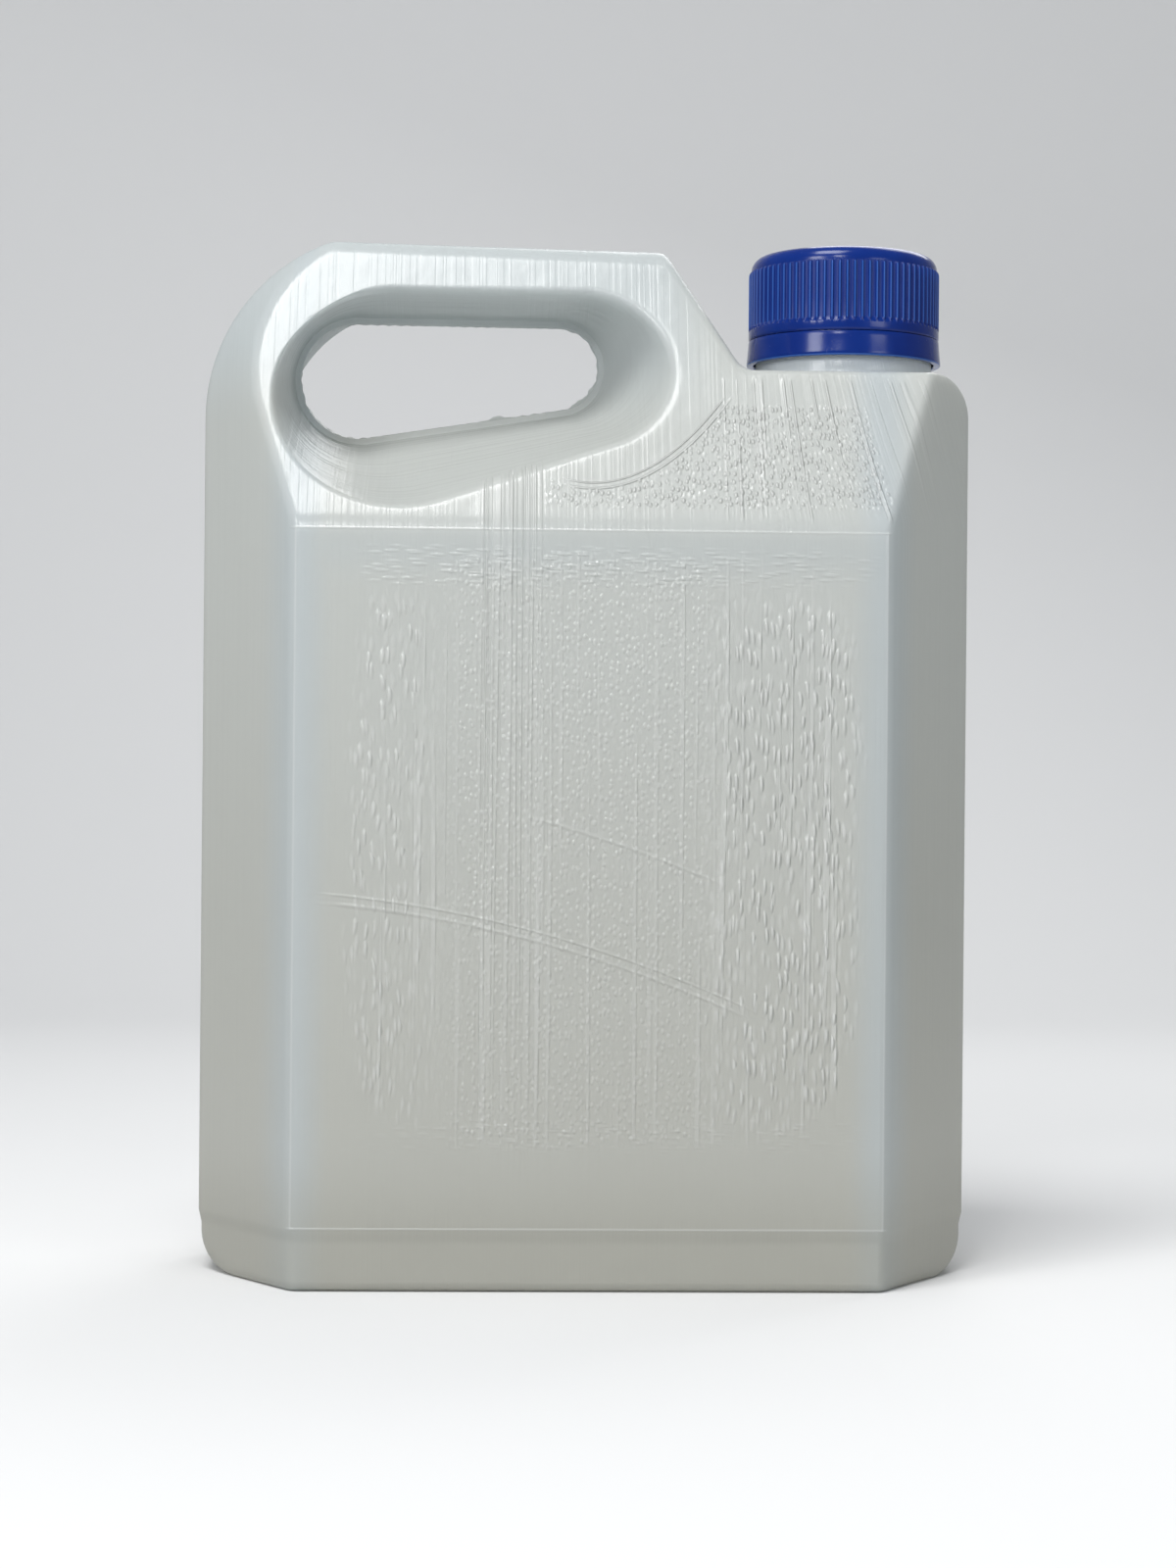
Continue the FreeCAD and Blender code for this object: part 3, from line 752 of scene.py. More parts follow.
def helix_tree():
    """A straight bar, one unit long in X, wound round the neck's axis as a helix."""
    tree, start, end = geometry_tree("wind_helix", [
        ("Radius", "Float"), ("Pitch", "Float"), ("Turns", "Float"), ("Place", "Vector"),
        ("Material", "Material"),
    ])

    def math_node(operation, a, b=None):
        links = {0: a} if b is None else {0: a, 1: b}
        return node(tree, "ShaderNodeMath", links, operation=operation).outputs[0]

    position = node(tree, "GeometryNodeInputPosition")
    apart = node(tree, "ShaderNodeSeparateXYZ", {0: position.outputs[0]}).outputs
    turns = math_node("MULTIPLY", apart[0], start.outputs["Turns"])
    angle = math_node("MULTIPLY", turns, 2 * math.pi)
    radius = math_node("ADD", apart[1], start.outputs["Radius"])
    wound = node(tree, "ShaderNodeCombineXYZ", {
        "X": math_node("MULTIPLY", radius, math_node("COSINE", angle)),
        "Y": math_node("MULTIPLY", radius, math_node("SINE", angle)),
        "Z": math_node("ADD", apart[2], math_node("MULTIPLY", turns, start.outputs["Pitch"])),
    })
    place = node(tree, "ShaderNodeVectorMath", {
        0: wound.outputs[0], 1: start.outputs["Place"],
    }, operation="ADD")
    bent = node(tree, "GeometryNodeSetPosition", {
        "Geometry": start.outputs["Geometry"], "Position": place.outputs[0],
    })
    real = node(tree, "GeometryNodeRealizeInstances", {"Geometry": bent.outputs[0]})
    finish = node(tree, "GeometryNodeSetMaterial", {
        "Geometry": real.outputs[0], "Material": start.outputs["Material"],
    })
    tree.links.new(finish.outputs[0], end.inputs["Geometry"])
    return tree


def make_thread(radius, height, low_z, material, name):
    """Screw thread; a negative height stands inwards. Its root is sunk into the wall it stands on."""
    sunk = -math.copysign(THREAD_SUNK, height)
    profile = [
        (sunk, -THREAD_ROOT / 2), (height, -THREAD_TIP / 2),
        (height, THREAD_TIP / 2), (sunk, THREAD_ROOT / 2),
    ]
    stations = 1 + int(THREAD_STEPS * THREAD_TURNS)
    co, faces = [], [(3, 2, 1, 0)]
    for k in range(stations):
        co += [(k / (stations - 1), y * MM, z * MM) for y, z in profile]
        for j in range(4 if k else 0):
            first, after = 4 * k - 4, 4 * k
            faces.append((first + j, first + (j + 1) % 4, after + (j + 1) % 4, after + j))
    faces.append(tuple(4 * stations - 4 + j for j in range(4)))
    mesh = bpy.data.meshes.new(name + "_bar")
    mesh.from_pydata(co, [], faces)
    thread = baked(with_tree(new_object(name + "_bar", mesh), helix_tree(), {
        "Radius": radius * MM, "Pitch": THREAD_PITCH * MM, "Turns": THREAD_TURNS,
        "Place": (NECK_X * MM, 0, (low_z + THREAD_ROOT / 2) * MM), "Material": material,
    }), name)
    outward(thread.data)
    return thread


# --- Jug ------------------------------------------------------------------------------------------
def neck_profile():
    """Neck, collar and retaining ring, closed on the axis."""
    ring = CAP_LOW.z - RING_HEIGHT - BAND_SLIT
    ring_radius = CAP_RADIUS - BAND_WALL - BAND_CLEARANCE
    collar_top = SHOULDER + COLLAR_HEIGHT
    top = CAP_HIGH.z - CAP_TOP
    foot = SHOULDER - SKIN_SINK
    return [
        (0, SHOULDER - WALL), (COLLAR_RADIUS + 1.1, SHOULDER - WALL), (COLLAR_RADIUS + 1.1, foot + 0.03),
        (COLLAR_RADIUS + 0.6, foot + 0.18), (COLLAR_RADIUS + 0.25, foot + 0.5),
        (COLLAR_RADIUS + 0.05, foot + 1.0),
        (COLLAR_RADIUS, foot + 1.5), (COLLAR_RADIUS, collar_top - 0.3), (COLLAR_RADIUS - 0.2, collar_top),
        (NECK_RADIUS + 0.3, collar_top + COLLAR_RAMP - 0.1), (NECK_RADIUS, collar_top + COLLAR_RAMP + 0.1),
        (NECK_RADIUS, ring), (ring_radius - 0.1, ring), (ring_radius, ring + 0.15),
        (NECK_RADIUS, ring + RING_HEIGHT), (NECK_RADIUS, top - 0.4), (NECK_RADIUS - 0.4, top), (0, top),
    ]


def make_jug(outside, inside):
    """Hollow jug: outer skin and neck, less the space inside and the bore."""
    outer = Skin(0, 1.25, 12)
    flat, triangles = sheet_points(outer, 4.0, 0.35, 0.008, [0.2, 0.6, 1.2, 2.0])
    jug = skin_mesh("jug_outside", outer, flat, triangles, base_recess, parting_ridge)
    inner = Skin(WALL, 2.5, 6)
    flat, triangles = sheet_points(inner, 9.0, 1.2, 0.06, [0.8])
    cavity = skin_mesh("jug_inside", inner, flat, triangles, base_recess, None)
    cavity.data.materials.append(inside)
    neck = lathe("neck", neck_profile(), 192)
    bore_low, bore_high = SHOULDER - 3 * WALL, CAP_HIGH.z
    bore = lathe("bore", [(0, bore_low), (NECK_BORE, bore_low), (NECK_BORE, bore_high), (0, bore_high)], 192)
    bore.data.materials.append(inside)
    for solid in (jug, neck):
        solid.data.materials.append(outside)
    thread = make_thread(NECK_RADIUS, THREAD_HEIGHT, CAP_LOW.z + CAP_LAND, outside, "neck_thread")
    steps = [(neck, "UNION"), (thread, "UNION"), (cavity, "DIFFERENCE"), (bore, "DIFFERENCE")]
    return combined(jug, steps, "jug_body")


# --- Cap --------------------------------------------------------------------------------------------
def make_cap(material):
    """Ribbed cap, one rib's pitch set round the axis; hollow, with its thread inside."""
    inner = CAP_RADIUS - RIB_HEIGHT - CAP_WALL
    top = CAP_HIGH.z - CAP_LOW.z
    under = top - CAP_TOP
    grip_top = CAP_LAND + GRIP_HEIGHT
    crown = CAP_RADIUS - RIB_HEIGHT
    flat = crown - CAP_EDGE
    # radius, height and share of the groove's depth
    rows = [
        (0, under), (inner, under, 0), (inner, 0.3, 0), (inner + 0.25, 0, 0), (CAP_RADIUS - 0.45, 0, 0),
        (CAP_RADIUS - 0.2, 0.08, 0), (CAP_RADIUS - 0.05, 0.3, 0), (CAP_RADIUS, 0.6, 0),
        (CAP_RADIUS, CAP_LAND - 0.3, 0), (CAP_RADIUS, CAP_LAND - 0.1, 0.04),
        (CAP_RADIUS, CAP_LAND + 0.1, 0.14),
        (CAP_RADIUS, CAP_LAND + 0.8, 0.9), (CAP_RADIUS, CAP_LAND + 1.0, 1), (CAP_RADIUS, CAP_LAND + 5, 1),
        (CAP_RADIUS, grip_top - 1.0, 1), (CAP_RADIUS - 0.03, grip_top - 0.5, 1),
        (CAP_RADIUS - 0.1, grip_top - 0.25, 1), (CAP_RADIUS - 0.24, grip_top - 0.08, 1),
        (CAP_RADIUS - 0.42, grip_top - 0.01, 1), (crown, grip_top, 0), (crown, top - CAP_EDGE, 0),
    ]
    for a in np.linspace(0, math.pi / 2, 9)[1:]:
        rows.append((flat + CAP_EDGE * math.cos(a), top - CAP_EDGE + CAP_EDGE * math.sin(a), 0))
    rows += [
        (flat - 1.2, top, 0), (flat - 1.7, top - 0.12, 0), (flat - 2.0, top - 0.25, 0),
        (3.4, top - 0.25, 0), (3.0, top - 0.3, 0), (2.6, top - 0.3, 0), (1.1, top - 0.3, 0),
        (0.9, top - 0.1, 0), (0, top - 0.05),
    ]
    half_pitch = math.pi / RIB_COUNT
    across = np.array([0.0, 0.1, 0.17, 0.24, 0.34, 0.44]) / CAP_RADIUS
    columns = np.concatenate([[-half_pitch], -across[::-1], across[1:], [half_pitch]])

    def shape(row, column):
        radius, z, groove = row
        rib = 1 - smooth_step(0.1, 0.4, abs(column) * CAP_RADIUS)
        return radius - (RIB_HEIGHT - (CAP_RADIUS - radius)) * groove * (1 - rib), z

    rib = pitch_mesh("cap_rib", rows, columns, RIB_COUNT, shape)
    cap = baked(with_tree(rib, round_tree(), {
        "Count": RIB_COUNT, "Centre": (NECK_X * MM, 0, CAP_LOW.z * MM), "Join Distance": 0.00001,
        "Material": material,
    }), "cap_blue")
    outward(cap.data)
    low_z = CAP_LOW.z + CAP_LAND + THREAD_PITCH / 2
    thread = make_thread(inner, -THREAD_HEIGHT, low_z, material, "cap_thread")
    return of_one_material(combined(cap, [(thread, "UNION")], "cap_blue"), material)


def make_band(material):
    """Tamper band, one bridge's pitch set round the axis."""
    inner = CAP_RADIUS - BAND_WALL
    top = CAP_LOW.z - SLIT_SHOWN - BAND_LOW.z
    lip_top = top + SLIT_SHOWN - RING_HEIGHT - 2 * BAND_SLIT
    rows = [
        (inner, 0.2), (inner + 0.2, 0), (BAND_RADIUS - 0.25, 0), (BAND_RADIUS - 0.07, 0.07),
        (BAND_RADIUS, 0.25),
        (BAND_RADIUS - 0.05, 0.9), (BAND_RADIUS - 0.2, 2.2), (CAP_RADIUS + 0.05, top - 1.0),
        (CAP_RADIUS, top - 0.2), (CAP_RADIUS - 0.06, top - 0.06), (CAP_RADIUS - 0.2, top),
        (CAP_RADIUS - 0.3, top), (inner + 0.3, top), (inner + 0.2, top), (inner, top - 0.2),
        (inner, lip_top), (inner - BAND_LIP + 0.2, lip_top), (inner - BAND_LIP, lip_top - 0.2),
        (inner, lip_top - 2 * BAND_LIP),
    ]
    half_pitch = math.pi / BRIDGE_COUNT
    bridge = np.array([0.34, 0.44, 0.8]) / CAP_RADIUS
    plain = np.linspace(bridge[-1], half_pitch, 9)[1:]
    side = np.concatenate([bridge, plain])
    columns = np.concatenate([-side[::-1], [0.0], side])

    def shape(row, column):
        radius, z = row
        on_bridge = abs(column) * CAP_RADIUS < BRIDGE_WIDTH / 2 and inner + 0.25 < radius < CAP_RADIUS - 0.25
        return radius, z + (SLIT_SHOWN if on_bridge and z == top else 0)

    pitch = pitch_mesh("band_bridge", rows, columns, BRIDGE_COUNT, shape)
    band = baked(with_tree(pitch, round_tree(), {
        "Count": BRIDGE_COUNT, "Centre": (NECK_X * MM, 0, BAND_LOW.z * MM), "Join Distance": 0.00001,
        "Material": material,
    }), "tamper_band_blue")
    outward(band.data)
    return of_one_material(band, material)


# --- Materials ---------------------------------------------------------------------------------------
# Milky plastic: share of light let through, depth of its relief in metres, and its colours.
THROUGH = 0.46
RELIEF = 0.0004
MILK = (0.625, 0.648, 0.642)
# painted shade: the darker, warmer tone towards the bottom of the jug
LOW_SHADE_WARM_MILK = (0.53, 0.53, 0.492)
# partly the thicker plastic's own whiter tone, partly painted highlight on raised marks
THICK_MILK_AND_HIGHLIGHT = (0.88, 0.89, 0.885)
# painted shade: darker tone on the skirt near the base
SKIRT_SHADE_MILK = (0.45, 0.445, 0.40)
# painted light: lighter, bluer tone on the neck under the cap
NECK_LIGHT_MILK = (0.82, 0.88, 0.93)
THIN_MILK = (0.56, 0.6, 0.622)
GLOW = (0.86, 0.86, 0.815)
THIN_GLOW = (0.74, 0.82, 0.86)

# Blue plastic: its two shades, and the painted highlight on the crests and rim.
BLUE = (0.0008, 0.014, 0.135)
BRIGHT_BLUE = (0.0012, 0.02, 0.165)
# painted highlight colour for the rib crests and the band's lower rim
HIGHLIGHT_BLUE = (0.02, 0.09, 0.35)


def plain_surface(name, colour, roughness):
    """Material of one colour."""
    material = bpy.data.materials.new(name)
    material.use_nodes = True
    shader = material.node_tree.nodes["Principled BSDF"]
    shader.inputs["Base Color"].default_value = (*colour, 1)
    shader.inputs["Roughness"].default_value = roughness
    return material


class Shades:
    """Short ways to add nodes to a material."""

    def __init__(self, name):
        self.material = bpy.data.materials.new(name)
        self.material.use_nodes = True
        self.tree = self.material.node_tree
        self.shader = self.tree.nodes["Principled BSDF"]
        self.output = self.tree.nodes["Material Output"]
        self.place = node(self.tree, "ShaderNodeTexCoord").outputs["Object"]
        apart = node(self.tree, "ShaderNodeSeparateXYZ", {0: self.place})
        self.x, self.y, self.z = apart.outputs

    def math(self, operation, a, b=None, c=None):
        links = {k: v for k, v in enumerate((a, b, c)) if v is not None}
        return node(self.tree, "ShaderNodeMath", links, operation=operation).outputs[0]

    def add(self, *terms):
        total = terms[0]
        for term in terms[1:]:
            total = self.math("ADD", total, term)
        return total

    def times(self, *factors):
        total = factors[0]
        for factor in factors[1:]:
            total = self.math("MULTIPLY", total, factor)
        return total

    def ramp(self, value, low, high, out_low=0.0, out_high=1.0):
        """Value mapped smoothly from one range to another; low may be above high."""
        made = node(self.tree, "ShaderNodeMapRange", {
            "Value": value, "From Min": low, "From Max": high, "To Min": out_low, "To Max": out_high,
        }, interpolation_type="SMOOTHSTEP")
        return made.outputs["Result"]

    def between(self, value, low, high, soft):
        """1 between two values (metres) and 0 outside them."""
        above = self.ramp(value, low - soft, low + soft)
        return self.times(above, self.ramp(value, high + soft, high - soft))

    def noise(self, scale, size=1.0, detail=2.0, roughness=0.5, turn=0.0, shift=(0, 0, 0)):
        """Noise with its own scale along X, Y and Z (features per metre)."""
        mapped = node(self.tree, "ShaderNodeMapping", {
            "Vector": self.place, "Location": shift, "Rotation": (0, turn, 0), "Scale": scale,
        })
        return node(self.tree, "ShaderNodeTexNoise", {
            "Vector": mapped.outputs[0], "Scale": size, "Detail": detail, "Roughness": roughness,
        }).outputs["Fac"]

    def colour_mix(self, share, low, high):
        """Colour between two, by a share; each is a colour or a socket."""
        mix = node(self.tree, "ShaderNodeMix", {"Factor": share}, data_type="RGBA")
        for index, value in ((6, low), (7, high)):
            if isinstance(value, bpy.types.NodeSocket):
                self.tree.links.new(value, mix.inputs[index])
            else:
                mix.inputs[index].default_value = (*value, 1)
        return mix.outputs[2]

    def line(self, value, centre, width):
        """Round-topped line where a value (metres) is at its centre."""
        away = self.math("ABSOLUTE", self.math("SUBTRACT", value, centre))
        return self.ramp(away, width, 0.0)

    def stripes(self, coordinate, scale, drift):
        """Noise that changes along one coordinate and only slowly down the length."""
        point = node(self.tree, "ShaderNodeCombineXYZ", {
            "X": self.times(coordinate, scale), "Y": self.times(self.z, drift),
        })
        return node(self.tree, "ShaderNodeTexNoise", {
            "Vector": point.outputs[0], "Scale": 1.0, "Detail": 1.0, "Roughness": 0.5,
        }, noise_dimensions="2D").outputs["Fac"]

    def beads(self, coordinate, scale_across, scale_down):
        """Rounded raised spots, scattered and uneven in height; scales are spots per metre."""
        point = node(self.tree, "ShaderNodeCombineXYZ", {
            "X": self.times(coordinate, scale_across), "Y": self.times(self.z, scale_down),
        })
        cells = node(self.tree, "ShaderNodeTexVoronoi", {
            "Vector": point.outputs[0], "Scale": 1.0,
        }, voronoi_dimensions="2D")
        chance = node(self.tree, "ShaderNodeSeparateColor", {0: cells.outputs["Color"]}).outputs[0]
        spot = self.ramp(cells.outputs["Distance"], 0.5, 0.08)
        return self.times(spot, self.ramp(chance, 0.0, 0.7, 0.25, 1.0))

    def bump(self, height, depth):
        """Fine relief of a depth in metres."""
        made = node(self.tree, "ShaderNodeBump", {"Height": height, "Strength": 1.0, "Distance": depth})
        return made.outputs["Normal"]

    def set(self, **values):
        for label, value in values.items():
            socket = self.shader.inputs[label.replace("_", " ")]
            if isinstance(value, bpy.types.NodeSocket):
                self.tree.links.new(value, socket)
            else:
                socket.default_value = value


def milky_plastic(name, has_relief):
    """Natural blown polyethylene: milky, lets light through, with the marks of its mould and die; painted
    shade darkens it towards the bottom and on the skirt, painted light lifts the neck, and painted
    highlights whiten its marks and creases.
    """
    m = Shades(name)
    across = m.math("ABSOLUTE", m.x)

    # colour: bluish where the wall is thin at the corners; painted shade makes it darker and warmer towards
    # the bottom
    corner = m.between(across, 0.0565, 0.0655, 0.004)
    panel_top = m.times(m.between(m.z, 0.149, 0.158, 0.005), m.ramp(across, 0.064, 0.058), 0.45)
    corner = m.math("MAXIMUM", corner, panel_top)
    handle = m.times(m.ramp(m.z, 0.178, 0.2), m.ramp(m.x, 0.03, 0.012), 0.8)
    corner = m.math("MAXIMUM", corner, handle)
    cloud = m.noise((14, 14, 10), detail=7.0, roughness=0.7)
    # painted shade: darker and warmer towards the bottom, plus a random cloudy tone
    low_shade_and_cloud = m.add(m.ramp(m.z, 0.17, 0.02, 0.0, 0.7), m.times(cloud, 0.3))
    tone = m.colour_mix(low_shade_and_cloud, MILK, LOW_SHADE_WARM_MILK)
    tone = m.colour_mix(m.times(corner, 0.6), tone, THIN_MILK)
    # painted shade: darker still on the skirt near the base
    tone = m.colour_mix(m.times(m.ramp(m.z, 0.032, 0.006), 0.8), tone, SKIRT_SHADE_MILK)
    # painted light: the neck and collar under the cap made lighter and bluer, lifting their shade
    off = m.math("SUBTRACT", m.x, NECK_X * MM)
    from_neck = m.math("SQRT", m.add(m.times(off, off), m.times(m.y, m.y)))
    neck = m.ramp(from_neck, (COLLAR_RADIUS + 1) * MM, COLLAR_RADIUS * MM)
    neck = m.times(neck, m.ramp(m.z, 0.192, 0.1935))
    tone = m.colour_mix(neck, tone, NECK_LIGHT_MILK)
    glow = m.colour_mix(m.times(corner, 0.6), GLOW, THIN_GLOW)
    m.set(Base_Color=tone, IOR=1.6, Roughness=0.24)
    if has_relief:
        # raised marks made lighter: partly the thicker plastic's whiter tone, partly painted highlight
        marks, relief = mould_relief(m, across)
        gloss = m.noise((35, 35, 30), detail=4.0)
        m.set(
            Base_Color=m.colour_mix(m.times(marks, 0.55), tone, THICK_MILK_AND_HIGHLIGHT),
            Normal=m.bump(relief, RELIEF),
            Roughness=m.ramp(gloss, 0.3, 0.7, 0.19, 0.26),
        )
    light_through = node(m.tree, "ShaderNodeBsdfTranslucent", {"Color": glow})
    mix = node(m.tree, "ShaderNodeMixShader", {
        0: THROUGH, 1: m.shader.outputs[0], 2: light_through.outputs[0],
    })
    m.tree.links.new(mix.outputs[0], m.output.inputs["Surface"])
    return m.material


def mould_relief(m, across):
    """Raised marks (0 to 1), with painted highlight lines along the creases, and the whole fine relief of
    the skin, in shares of its depth.
    """
    # the panel's rough middle, a rounded oblong
    off_x = m.math("DIVIDE", m.math("SUBTRACT", m.x, 0.003), 0.0535)
    off_z = m.math("DIVIDE", m.math("SUBTRACT", m.z, 0.0915), 0.0615)
    sx = m.math("POWER", m.math("ABSOLUTE", off_x), 5.0)
    sz = m.math("POWER", m.math("ABSOLUTE", off_z), 5.0)
    wander = m.noise((60, 60, 60), detail=1.0)
    oblong = m.ramp(m.add(sx, sz, m.times(wander, 0.5)), 1.35, 1.1)
    oblong = m.times(oblong, m.ramp(m.z, 0.156, 0.15))
    right_field = m.between(m.x, 0.026, 0.0555, 0.006)
    left_field = m.between(m.x, -0.0515, -0.033, 0.006)
    dash_field = m.add(right_field, m.times(left_field, 0.7))
    dash_field = m.times(dash_field, m.between(m.z, 0.036, 0.142, 0.008), oblong)
    mid_field = m.times(m.between(m.x, -0.03, 0.026, 0.006), oblong)

    # the shoulder's rough patch ends in a curved double ridge
    ridge_z = m.add(0.1663, m.times(m.x, m.x, 23.5))
    lean = m.math("SQRT", m.add(1.0, m.times(m.x, m.x, 2200.0)))
    past = m.math("DIVIDE", m.math("SUBTRACT", m.z, ridge_z), lean)
    patch = m.times(
        m.between(m.z, 0.1625, 0.1848, 0.0007),
        m.ramp(past, 0.0003, -0.0006),
        m.ramp(m.x, -0.011, -0.007),
        m.ramp(m.add(m.x, m.times(m.z, 0.25)), 0.1045, 0.102),
    )
    on_curve = m.times(m.between(m.x, -0.004, 0.029, 0.003), m.between(m.z, 0.162, 0.186, 0.001))
    curve = m.times(m.add(m.line(past, 0.0, 0.0004), m.line(past, 0.0012, 0.0003)), on_curve)

    # lines drawn down the length as the plastic left its die; on the shoulder they fan out
    fan = m.math("MINIMUM", m.math("MAXIMUM", m.times(m.math("SUBTRACT", m.x, 0.031), 10.0), 0.0), 0.36)
    fan = m.times(fan, m.math("MAXIMUM", m.math("SUBTRACT", m.z, 0.16), 0.0))
    drawn = m.add(m.x, fan)
    fine_line = m.ramp(m.stripes(drawn, 1150.0, 7.0), 0.4, 0.6)
    bold_line = m.ramp(m.stripes(drawn, 560.0, 7.0), 0.6, 0.7)
    in_bundle = m.between(m.x, -0.0235, -0.0105, 0.0012)
    bundle = m.add(m.ramp(m.z, 0.02, 0.07, 0.0, 0.5), m.ramp(m.z, 0.1575, 0.159, 0.0, 0.35))
    bundle = m.times(in_bundle, bundle, m.ramp(m.z, 0.18, 0.172))
    above = m.times(m.between(m.z, 0.16, 0.1905, 0.001), m.between(m.x, 0.024, 0.07, 0.005))

    # dashes, pimples and short marks along the top of the panel
    dash = m.beads(m.add(m.x, m.times(m.stripes(m.x, 90.0, 60.0), 0.002)), 740.0, 210.0)
    pimple = m.beads(drawn, 900.0, 640.0)
    row_dash = m.beads(m.add(m.x, m.times(m.z, 0.6)), 230.0, 1050.0)
    row_field = m.times(
        m.add(m.between(m.z, 0.146, 0.1535, 0.0015), m.times(m.between(m.z, 0.029, 0.036, 0.0015), 0.5)),
        m.between(m.x, -0.046, 0.057, 0.006),
    )

    # two faint bowed lines across the panel, and rings low in the funnel
    bow = m.add(m.z, m.times(m.x, 0.309), m.times(m.x, m.x, 2.1))
    low_bows = m.add(m.line(bow, 0.0694, 0.0007), m.line(bow, 0.0713, 0.0005))
    bows = m.add(
        m.times(low_bows, m.between(m.x, -0.054, 0.032, 0.006)),
        m.times(m.line(bow, 0.0945, 0.0007), m.between(m.x, -0.011, 0.026, 0.004)),
    )
    shoulder_half = m.math("SUBTRACT", 0.1183, m.times(m.z, WEDGE_SLOPE))
    deep = m.math("SUBTRACT", shoulder_half, m.math("ABSOLUTE", m.y))
    funnel = m.times(m.between(m.x, -0.064, 0.014, 0.003), m.ramp(m.z, 0.159, 0.162))
    funnel = m.times(m.ramp(deep, 0.002, 0.004), funnel)
    rings = m.times(m.stripes(m.y, 700.0, 20.0), funnel, 0.4)
    bundle = m.times(bundle, m.math("SUBTRACT", 1.0, funnel))

    # thin bead beside each crease: a slight ridge in the relief and a painted highlight line in the colour
    level_bead_and_highlight = m.add(m.line(m.z, 0.1573, 0.0004), m.times(m.line(m.z, 0.0131, 0.0004), 0.9))
    upright_bead_and_highlight = m.times(m.line(across, 0.0612, 0.0004), m.between(m.z, 0.013, 0.1575, 0.0005), 0.8)
    crease_bead_and_highlight = m.add(m.times(level_bead_and_highlight, m.ramp(across, 0.0625, 0.0615)), upright_bead_and_highlight)

    bold_field = m.add(
        m.times(oblong, 0.25), m.times(dash_field, 0.2), m.times(above, 0.7), m.times(bundle, 0.3),
    )
    marks = m.add(
        m.times(dash, dash_field, 1.1),
        m.times(bold_line, bold_field),
        m.times(pimple, m.add(m.times(mid_field, 0.35), m.times(patch, 1.1))),
        m.times(row_dash, row_field, 0.35),
        m.times(fine_line, bundle, 0.6),
        m.times(curve, 0.9),
    )
    relief = m.add(
        marks,
        m.times(pimple, patch, -0.2),
        m.times(fine_line, 0.05),
        m.times(m.noise((130, 130, 90), detail=2.0), 0.5),
        m.times(bows, 0.4),
        m.times(crease_bead_and_highlight, 0.3),
        rings,
    )
    # painted highlight lines along the creases lighten the marks' colour
    marks = m.math("MINIMUM", m.add(marks, m.times(crease_bead_and_highlight, 0.85), m.times(bows, 0.12)), 2.0)
    return marks, relief


def blue_plastic(name, rim_z):
    """Glossy blue moulded plastic, with painted highlights on the crests of the ribs and along the band's
    lower rim.
    """
    m = Shades(name)
    off = m.math("SUBTRACT", m.x, NECK_X * MM)
    radius = m.math("SQRT", m.add(m.times(off, off), m.times(m.y, m.y)))
    grip_low, grip_high = CAP_LOW.z + CAP_LAND, CAP_LOW.z + CAP_LAND + GRIP_HEIGHT
    grip = m.between(m.z, (grip_low + 0.7) * MM, (grip_high + 0.1) * MM, 0.0003)
    # painted highlight: the crests of the ribs and the band's lower rim made paler
    crest_highlight = m.times(m.ramp(radius, (CAP_RADIUS - 0.17) * MM, (CAP_RADIUS - 0.03) * MM), grip)
    rim = m.ramp(m.z, (rim_z + 0.4) * MM, (rim_z + 0.15) * MM)
    painted_highlight = m.math("MAXIMUM", m.times(crest_highlight, 0.8), m.times(rim, 0.9))
    cloud = m.noise((90, 90, 60), detail=3.0)
    tone = m.colour_mix(m.ramp(cloud, 0.3, 0.7), BLUE, BRIGHT_BLUE)
    tone = m.colour_mix(painted_highlight, tone, HIGHLIGHT_BLUE)
    scuff = m.ramp(m.noise((700, 700, 300), detail=3.0, roughness=0.65), 0.62, 0.72)
    m.set(
        Base_Color=tone,
        Specular_IOR_Level=0.28,
        Roughness=m.add(0.15, m.times(cloud, 0.06), m.times(scuff, 0.12), m.times(grip, 0.22)),
        Normal=m.bump(m.add(m.noise((260, 260, 200), detail=3.0), m.times(scuff, -0.3)), 0.00002),
    )
    return m.material


milky = milky_plastic("milky_plastic", True)
milky_inside = milky_plastic("milky_plastic_inside", False)
blue = blue_plastic("blue_cap_plastic", BAND_LOW.z)

jug = smooth_faces(make_jug(milky, milky_inside), 50)
cap = smooth_faces(make_cap(blue), 35)
band = smooth_faces(make_band(blue), 35)

for piece, name, slot in (
    (jug, "jug", "jug_plastic"),
    (cap, "cap", "cap_plastic"),
    (band, "tamper_band", "cap_plastic"),
):
    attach(piece, "root")
    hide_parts(name)


# --- Floor, light and camera ---------------------------------------------------------------------------
FLOOR_FRONT, FLOOR_BACK, FLOOR_BEND = -1.6, 0.7, 0.5
BACKDROP_HEIGHT = 2.4
FLOOR_HALF_WIDTH = 2.5
PAPER = (0.72, 0.72, 0.72)

CAMERA_PLACE = (-0.025, -0.695, 0.105)
CAMERA_TARGET = (0.001, 0.0, 0.105)
CAMERA_ROLL = 0.5
CAMERA_LENS = 72.6
SENSOR_HEIGHT = 36.0

# Name, place, target, size and power of each lamp.
LAMPS = (
    ("overhead_soft", (-0.2, -0.4, 1.0), (0, 0, 0.14), 0.42, 7.4),
    ("left_soft", (-0.95, -1.15, 0.75), (0, 0, 0.12), 0.45, 8.0),
    ("back_soft", (0.3, 0.62, 0.85), (0, 0, 0.12), 0.6, 3.5),
    ("right_soft", (1.0, -1.3, 0.45), (0, 0, 0.1), 0.5, 3.5),
    ("glint", (-0.25, -1.3, 0.85), (0, 0, 0.12), 0.25, 3.0),
)
ROOM_COLOUR = (0.9, 0.95, 1.0, 1)
ROOM_STRENGTH = 0.34


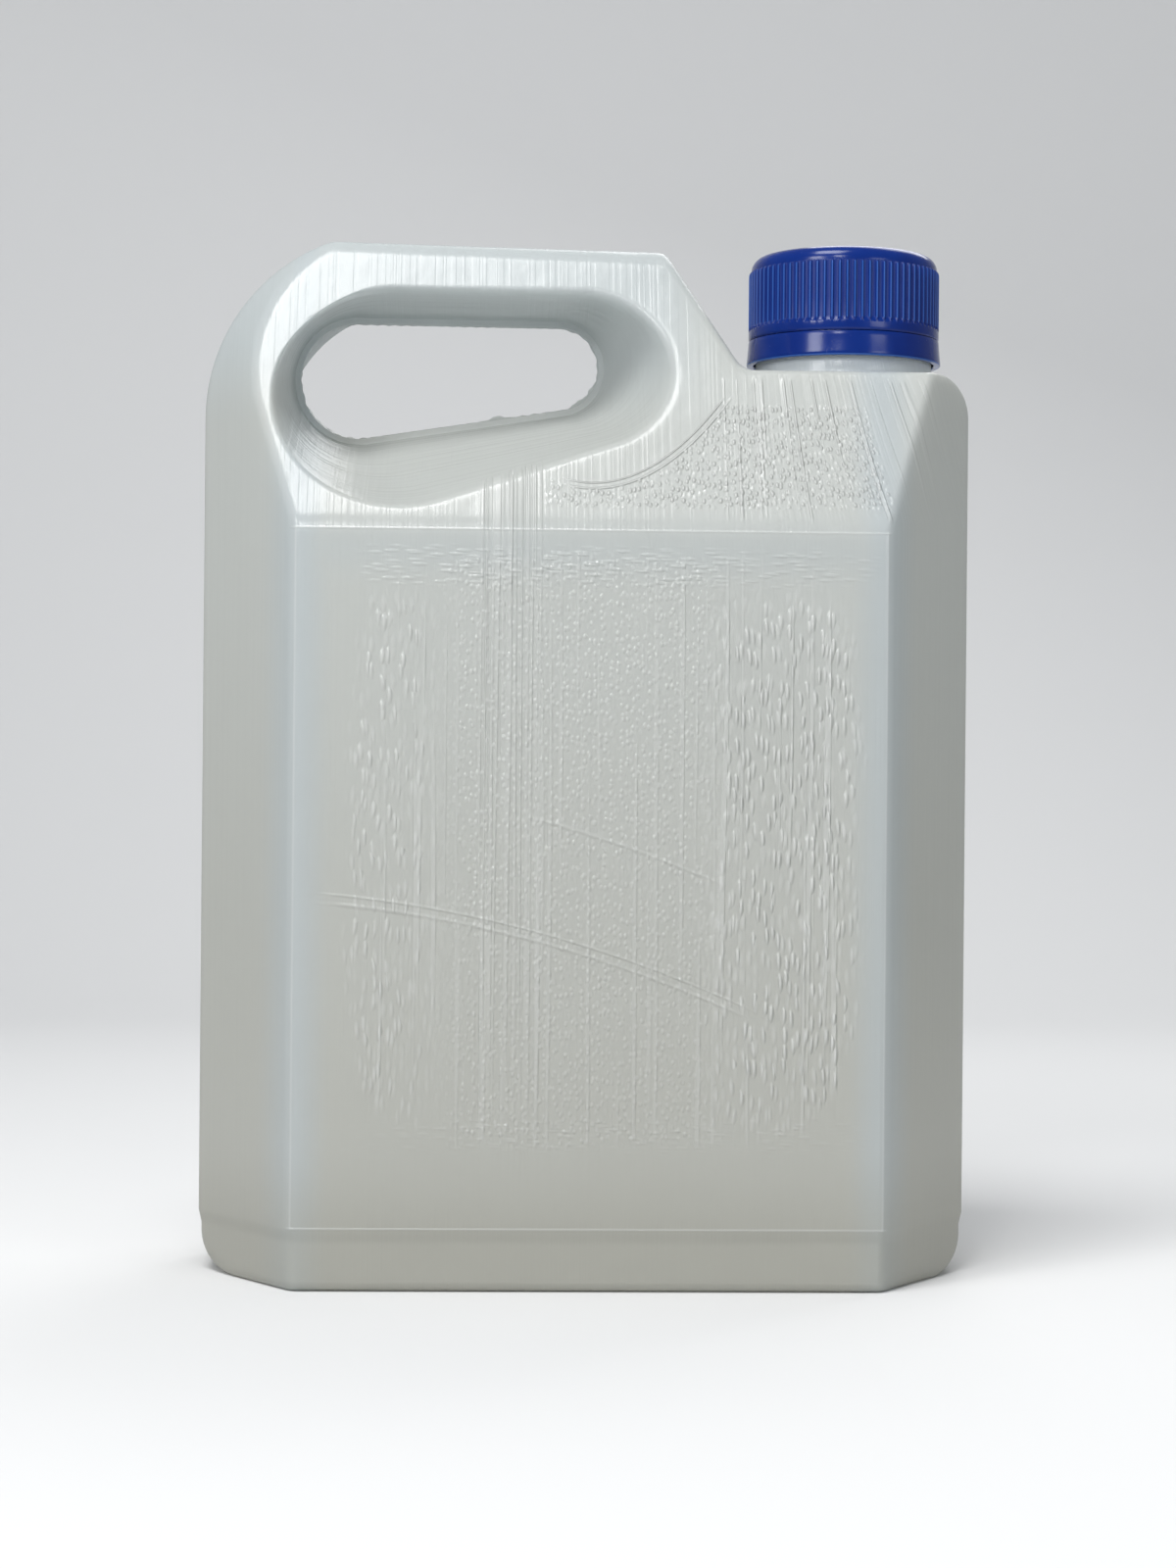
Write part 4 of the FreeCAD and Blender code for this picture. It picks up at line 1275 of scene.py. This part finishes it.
def make_floor():
    """Plain pale floor that curves up into a backdrop."""
    profile = [(FLOOR_FRONT, 0.0), (FLOOR_BACK, 0.0)]
    for a in np.linspace(0, math.pi / 2, 13)[1:]:
        profile.append((FLOOR_BACK + FLOOR_BEND * math.sin(a), FLOOR_BEND - FLOOR_BEND * math.cos(a)))
    profile.append((FLOOR_BACK + FLOOR_BEND, BACKDROP_HEIGHT))
    co = [(x, y, z) for y, z in profile for x in (-FLOOR_HALF_WIDTH, FLOOR_HALF_WIDTH)]
    faces = [(2 * k, 2 * k + 1, 2 * k + 3, 2 * k + 2) for k in range(len(profile) - 1)]
    mesh = bpy.data.meshes.new("floor")
    mesh.from_pydata(co, [], faces)
    floor = new_object("floor", mesh)
    mesh.polygons.foreach_set("use_smooth", np.ones(len(faces), bool))
    material = plain_surface("floor_paper", PAPER, 0.9)
    mesh.materials.append(material)
    return floor


def make_lamp(name, place, target, size, power):
    """Square soft lamp that points at a target."""
    light = bpy.data.lights.new(name, "AREA")
    light.shape = "SQUARE"
    light.size = size
    light.energy = power
    lamp = bpy.data.objects.new(name, light)
    lamp.location = place
    lamp.rotation_euler = (Vector(target) - Vector(place)).to_track_quat("-Z", "Y").to_euler()
    bpy.context.scene.collection.objects.link(lamp)
    return lamp


def make_camera():
    """Camera at the front, a little to the left, level with the middle of the jug."""
    data = bpy.data.cameras.new("camera")
    data.sensor_fit = "VERTICAL"
    data.sensor_height = SENSOR_HEIGHT
    data.lens = CAMERA_LENS
    camera = bpy.data.objects.new("camera", data)
    place = Vector(CAMERA_PLACE)
    target = Vector(CAMERA_TARGET)
    aim = (target - place).to_track_quat("-Z", "Y")
    camera.rotation_euler = (aim.to_matrix() @ Matrix.Rotation(math.radians(CAMERA_ROLL), 3, "Z")).to_euler()
    camera.location = place
    bpy.context.scene.collection.objects.link(camera)
    bpy.context.scene.camera = camera


make_floor()
for lamp in LAMPS:
    make_lamp(*lamp)
world = bpy.data.worlds.new("room")
world.use_nodes = True
world.node_tree.nodes["Background"].inputs["Color"].default_value = ROOM_COLOUR
world.node_tree.nodes["Background"].inputs["Strength"].default_value = ROOM_STRENGTH
bpy.context.scene.world = world
make_camera()
bpy.context.scene.view_settings.view_transform = "Standard"
